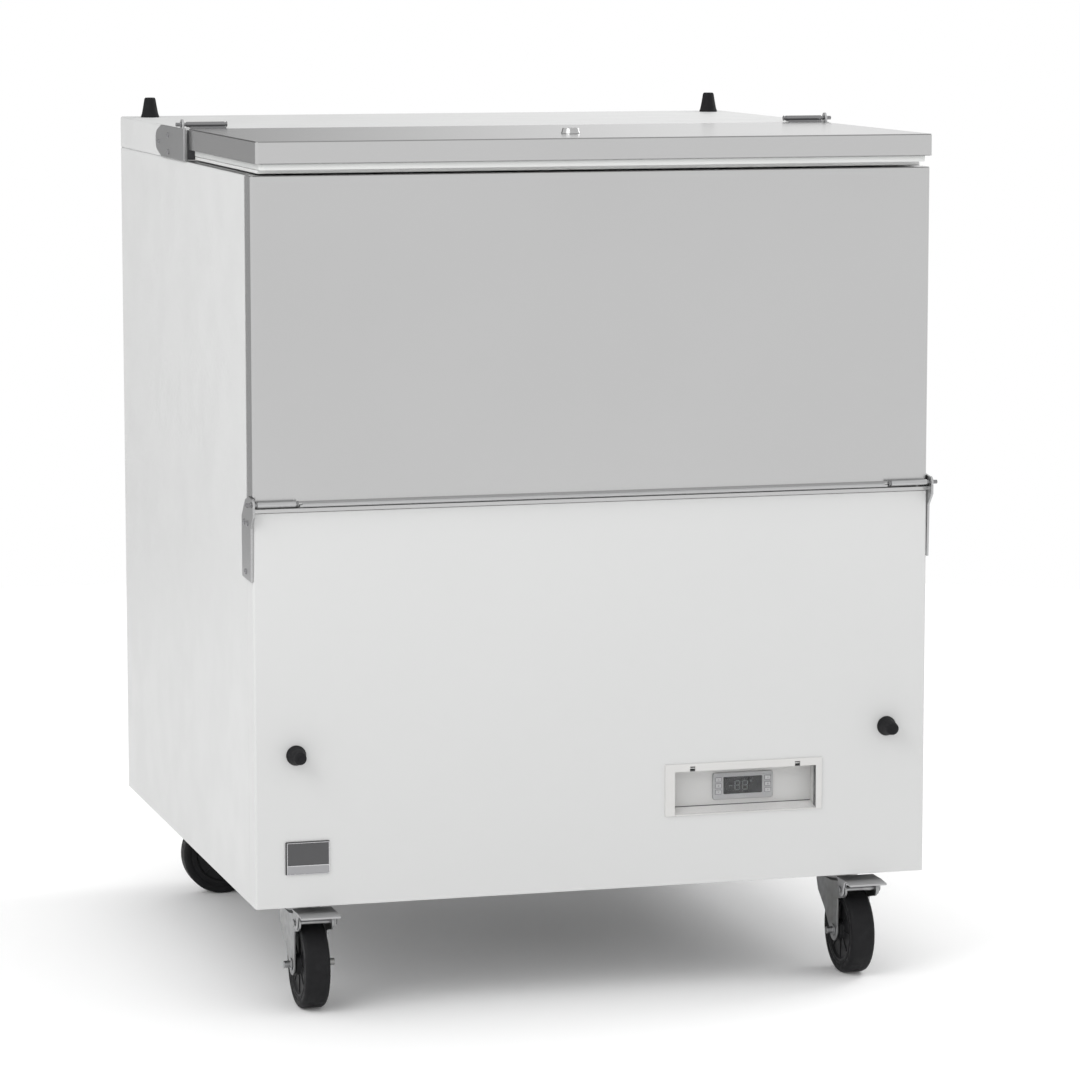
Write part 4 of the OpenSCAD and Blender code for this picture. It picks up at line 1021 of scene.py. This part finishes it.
def studio():
    """A round white floor, the surround and two square lights."""
    bpy.ops.mesh.primitive_circle_add(vertices=96, radius=3.4, fill_type="NGON", location=(0, 0, 0))
    floor = bpy.context.object
    floor.name = "floor"
    s = Surface("floor", (0.96, 0.96, 0.96), 0.9, Specular_IOR_Level=0.1, Emission_Strength=0.04)
    s.set("Emission Color", (1, 1, 1, 1))
    s.tint(s.noise(900, 2), (0.95, 0.95, 0.95))
    floor.data.materials.append(s.made)
    sky()
    softbox("key_light", (-2.8, -2.2, 3.0), 2.4, KEY_WATTS)
    softbox("side_light", (3.2, 1.0, 2.6), 1.6, SIDE_WATTS)
    bpy.context.scene.view_settings.view_transform = "Standard"


def softbox(name, place, size, watts):
    """A square light that faces the cabinet."""
    aim = Vector((0, 0, 0.7))
    data = bpy.data.lights.new(name, "AREA")
    data.size = size
    data.energy = watts
    lamp = bpy.data.objects.new(name, data)
    lamp.location = place
    lamp.rotation_euler = (Vector(place) - aim).to_track_quat("Z", "Y").to_euler()
    bpy.context.scene.collection.objects.link(lamp)


def sky():
    """An even white surround. Its patches dim only light and reflections, so the backdrop that
    the camera sees directly stays plain."""
    world = bpy.data.worlds.new("studio")
    bpy.context.scene.world = world
    world.use_nodes = True
    tree = world.node_tree

    def node(kind, *inputs, **values):
        new = tree.nodes.new(kind)
        for key, value in values.items():
            setattr(new, key, value)
        for socket, value in zip(new.inputs, inputs):
            if isinstance(value, bpy.types.NodeSocket):
                tree.links.new(value, socket)
            else:
                socket.default_value = value
        return new.outputs[0]

    def maths(operation, *inputs):
        return node("ShaderNodeMath", *inputs, operation=operation)

    def step(value, start, end):
        return node("ShaderNodeMapRange", value, start, end, 0.0, 1.0,
                    interpolation_type="SMOOTHSTEP")

    split = tree.nodes.new("ShaderNodeSeparateXYZ")
    tree.links.new(tree.nodes.new("ShaderNodeTexCoord").outputs["Generated"], split.inputs[0])
    x, y, z = split.outputs
    azimuth = maths("MULTIPLY", maths("ARCTAN2", x, y), math.degrees(1))
    elevation = maths("MULTIPLY", maths("ARCSINE", z), math.degrees(1))
    dimming = 0.0
    for (a0, a1), (a2, a3), (e0, e1), (e2, e3), change in PATCHES:
        across = maths("MULTIPLY", step(azimuth, a0, a1), step(azimuth, a3, a2))
        upright = maths("MULTIPLY", step(elevation, e0, e1), step(elevation, e3, e2))
        patch = maths("MULTIPLY", maths("MULTIPLY", across, upright), change)
        dimming = maths("ADD", dimming, patch)
    unseen = maths("SUBTRACT", 1.0, tree.nodes.new("ShaderNodeLightPath").outputs["Is Camera Ray"])
    level = maths("ADD", SKY, maths("MULTIPLY", dimming, unseen))
    tree.links.new(level, tree.nodes["Background"].inputs["Strength"])
    tree.nodes["Background"].inputs["Color"].default_value = (1, 1, 1, 1)


def camera():
    """A long lens in front of the cabinet, a little to its left and above its middle."""
    azimuth, elevation, distance = math.radians(-15.866), math.radians(7.588), 5.8865
    away = Vector((math.sin(azimuth) * math.cos(elevation),
                   -math.cos(azimuth) * math.cos(elevation), math.sin(elevation)))
    target = Vector((0.0397, -0.0115, 0.5317))
    data = bpy.data.cameras.new("camera")
    data.sensor_width = 36
    data.lens = 146.727
    data.clip_end = 100
    eye = bpy.data.objects.new("camera", data)
    eye.location = target + away * distance
    eye.rotation_euler = away.to_track_quat("Z", "Y").to_euler()
    bpy.context.scene.collection.objects.link(eye)
    bpy.context.scene.camera = eye


camera()
shell()
rim_trims()
tank()
fittings()
fasteners()
controller()
seals()
lid()
door()
hinges()
casters()
machine_bay()
hidden_foam()
studio()
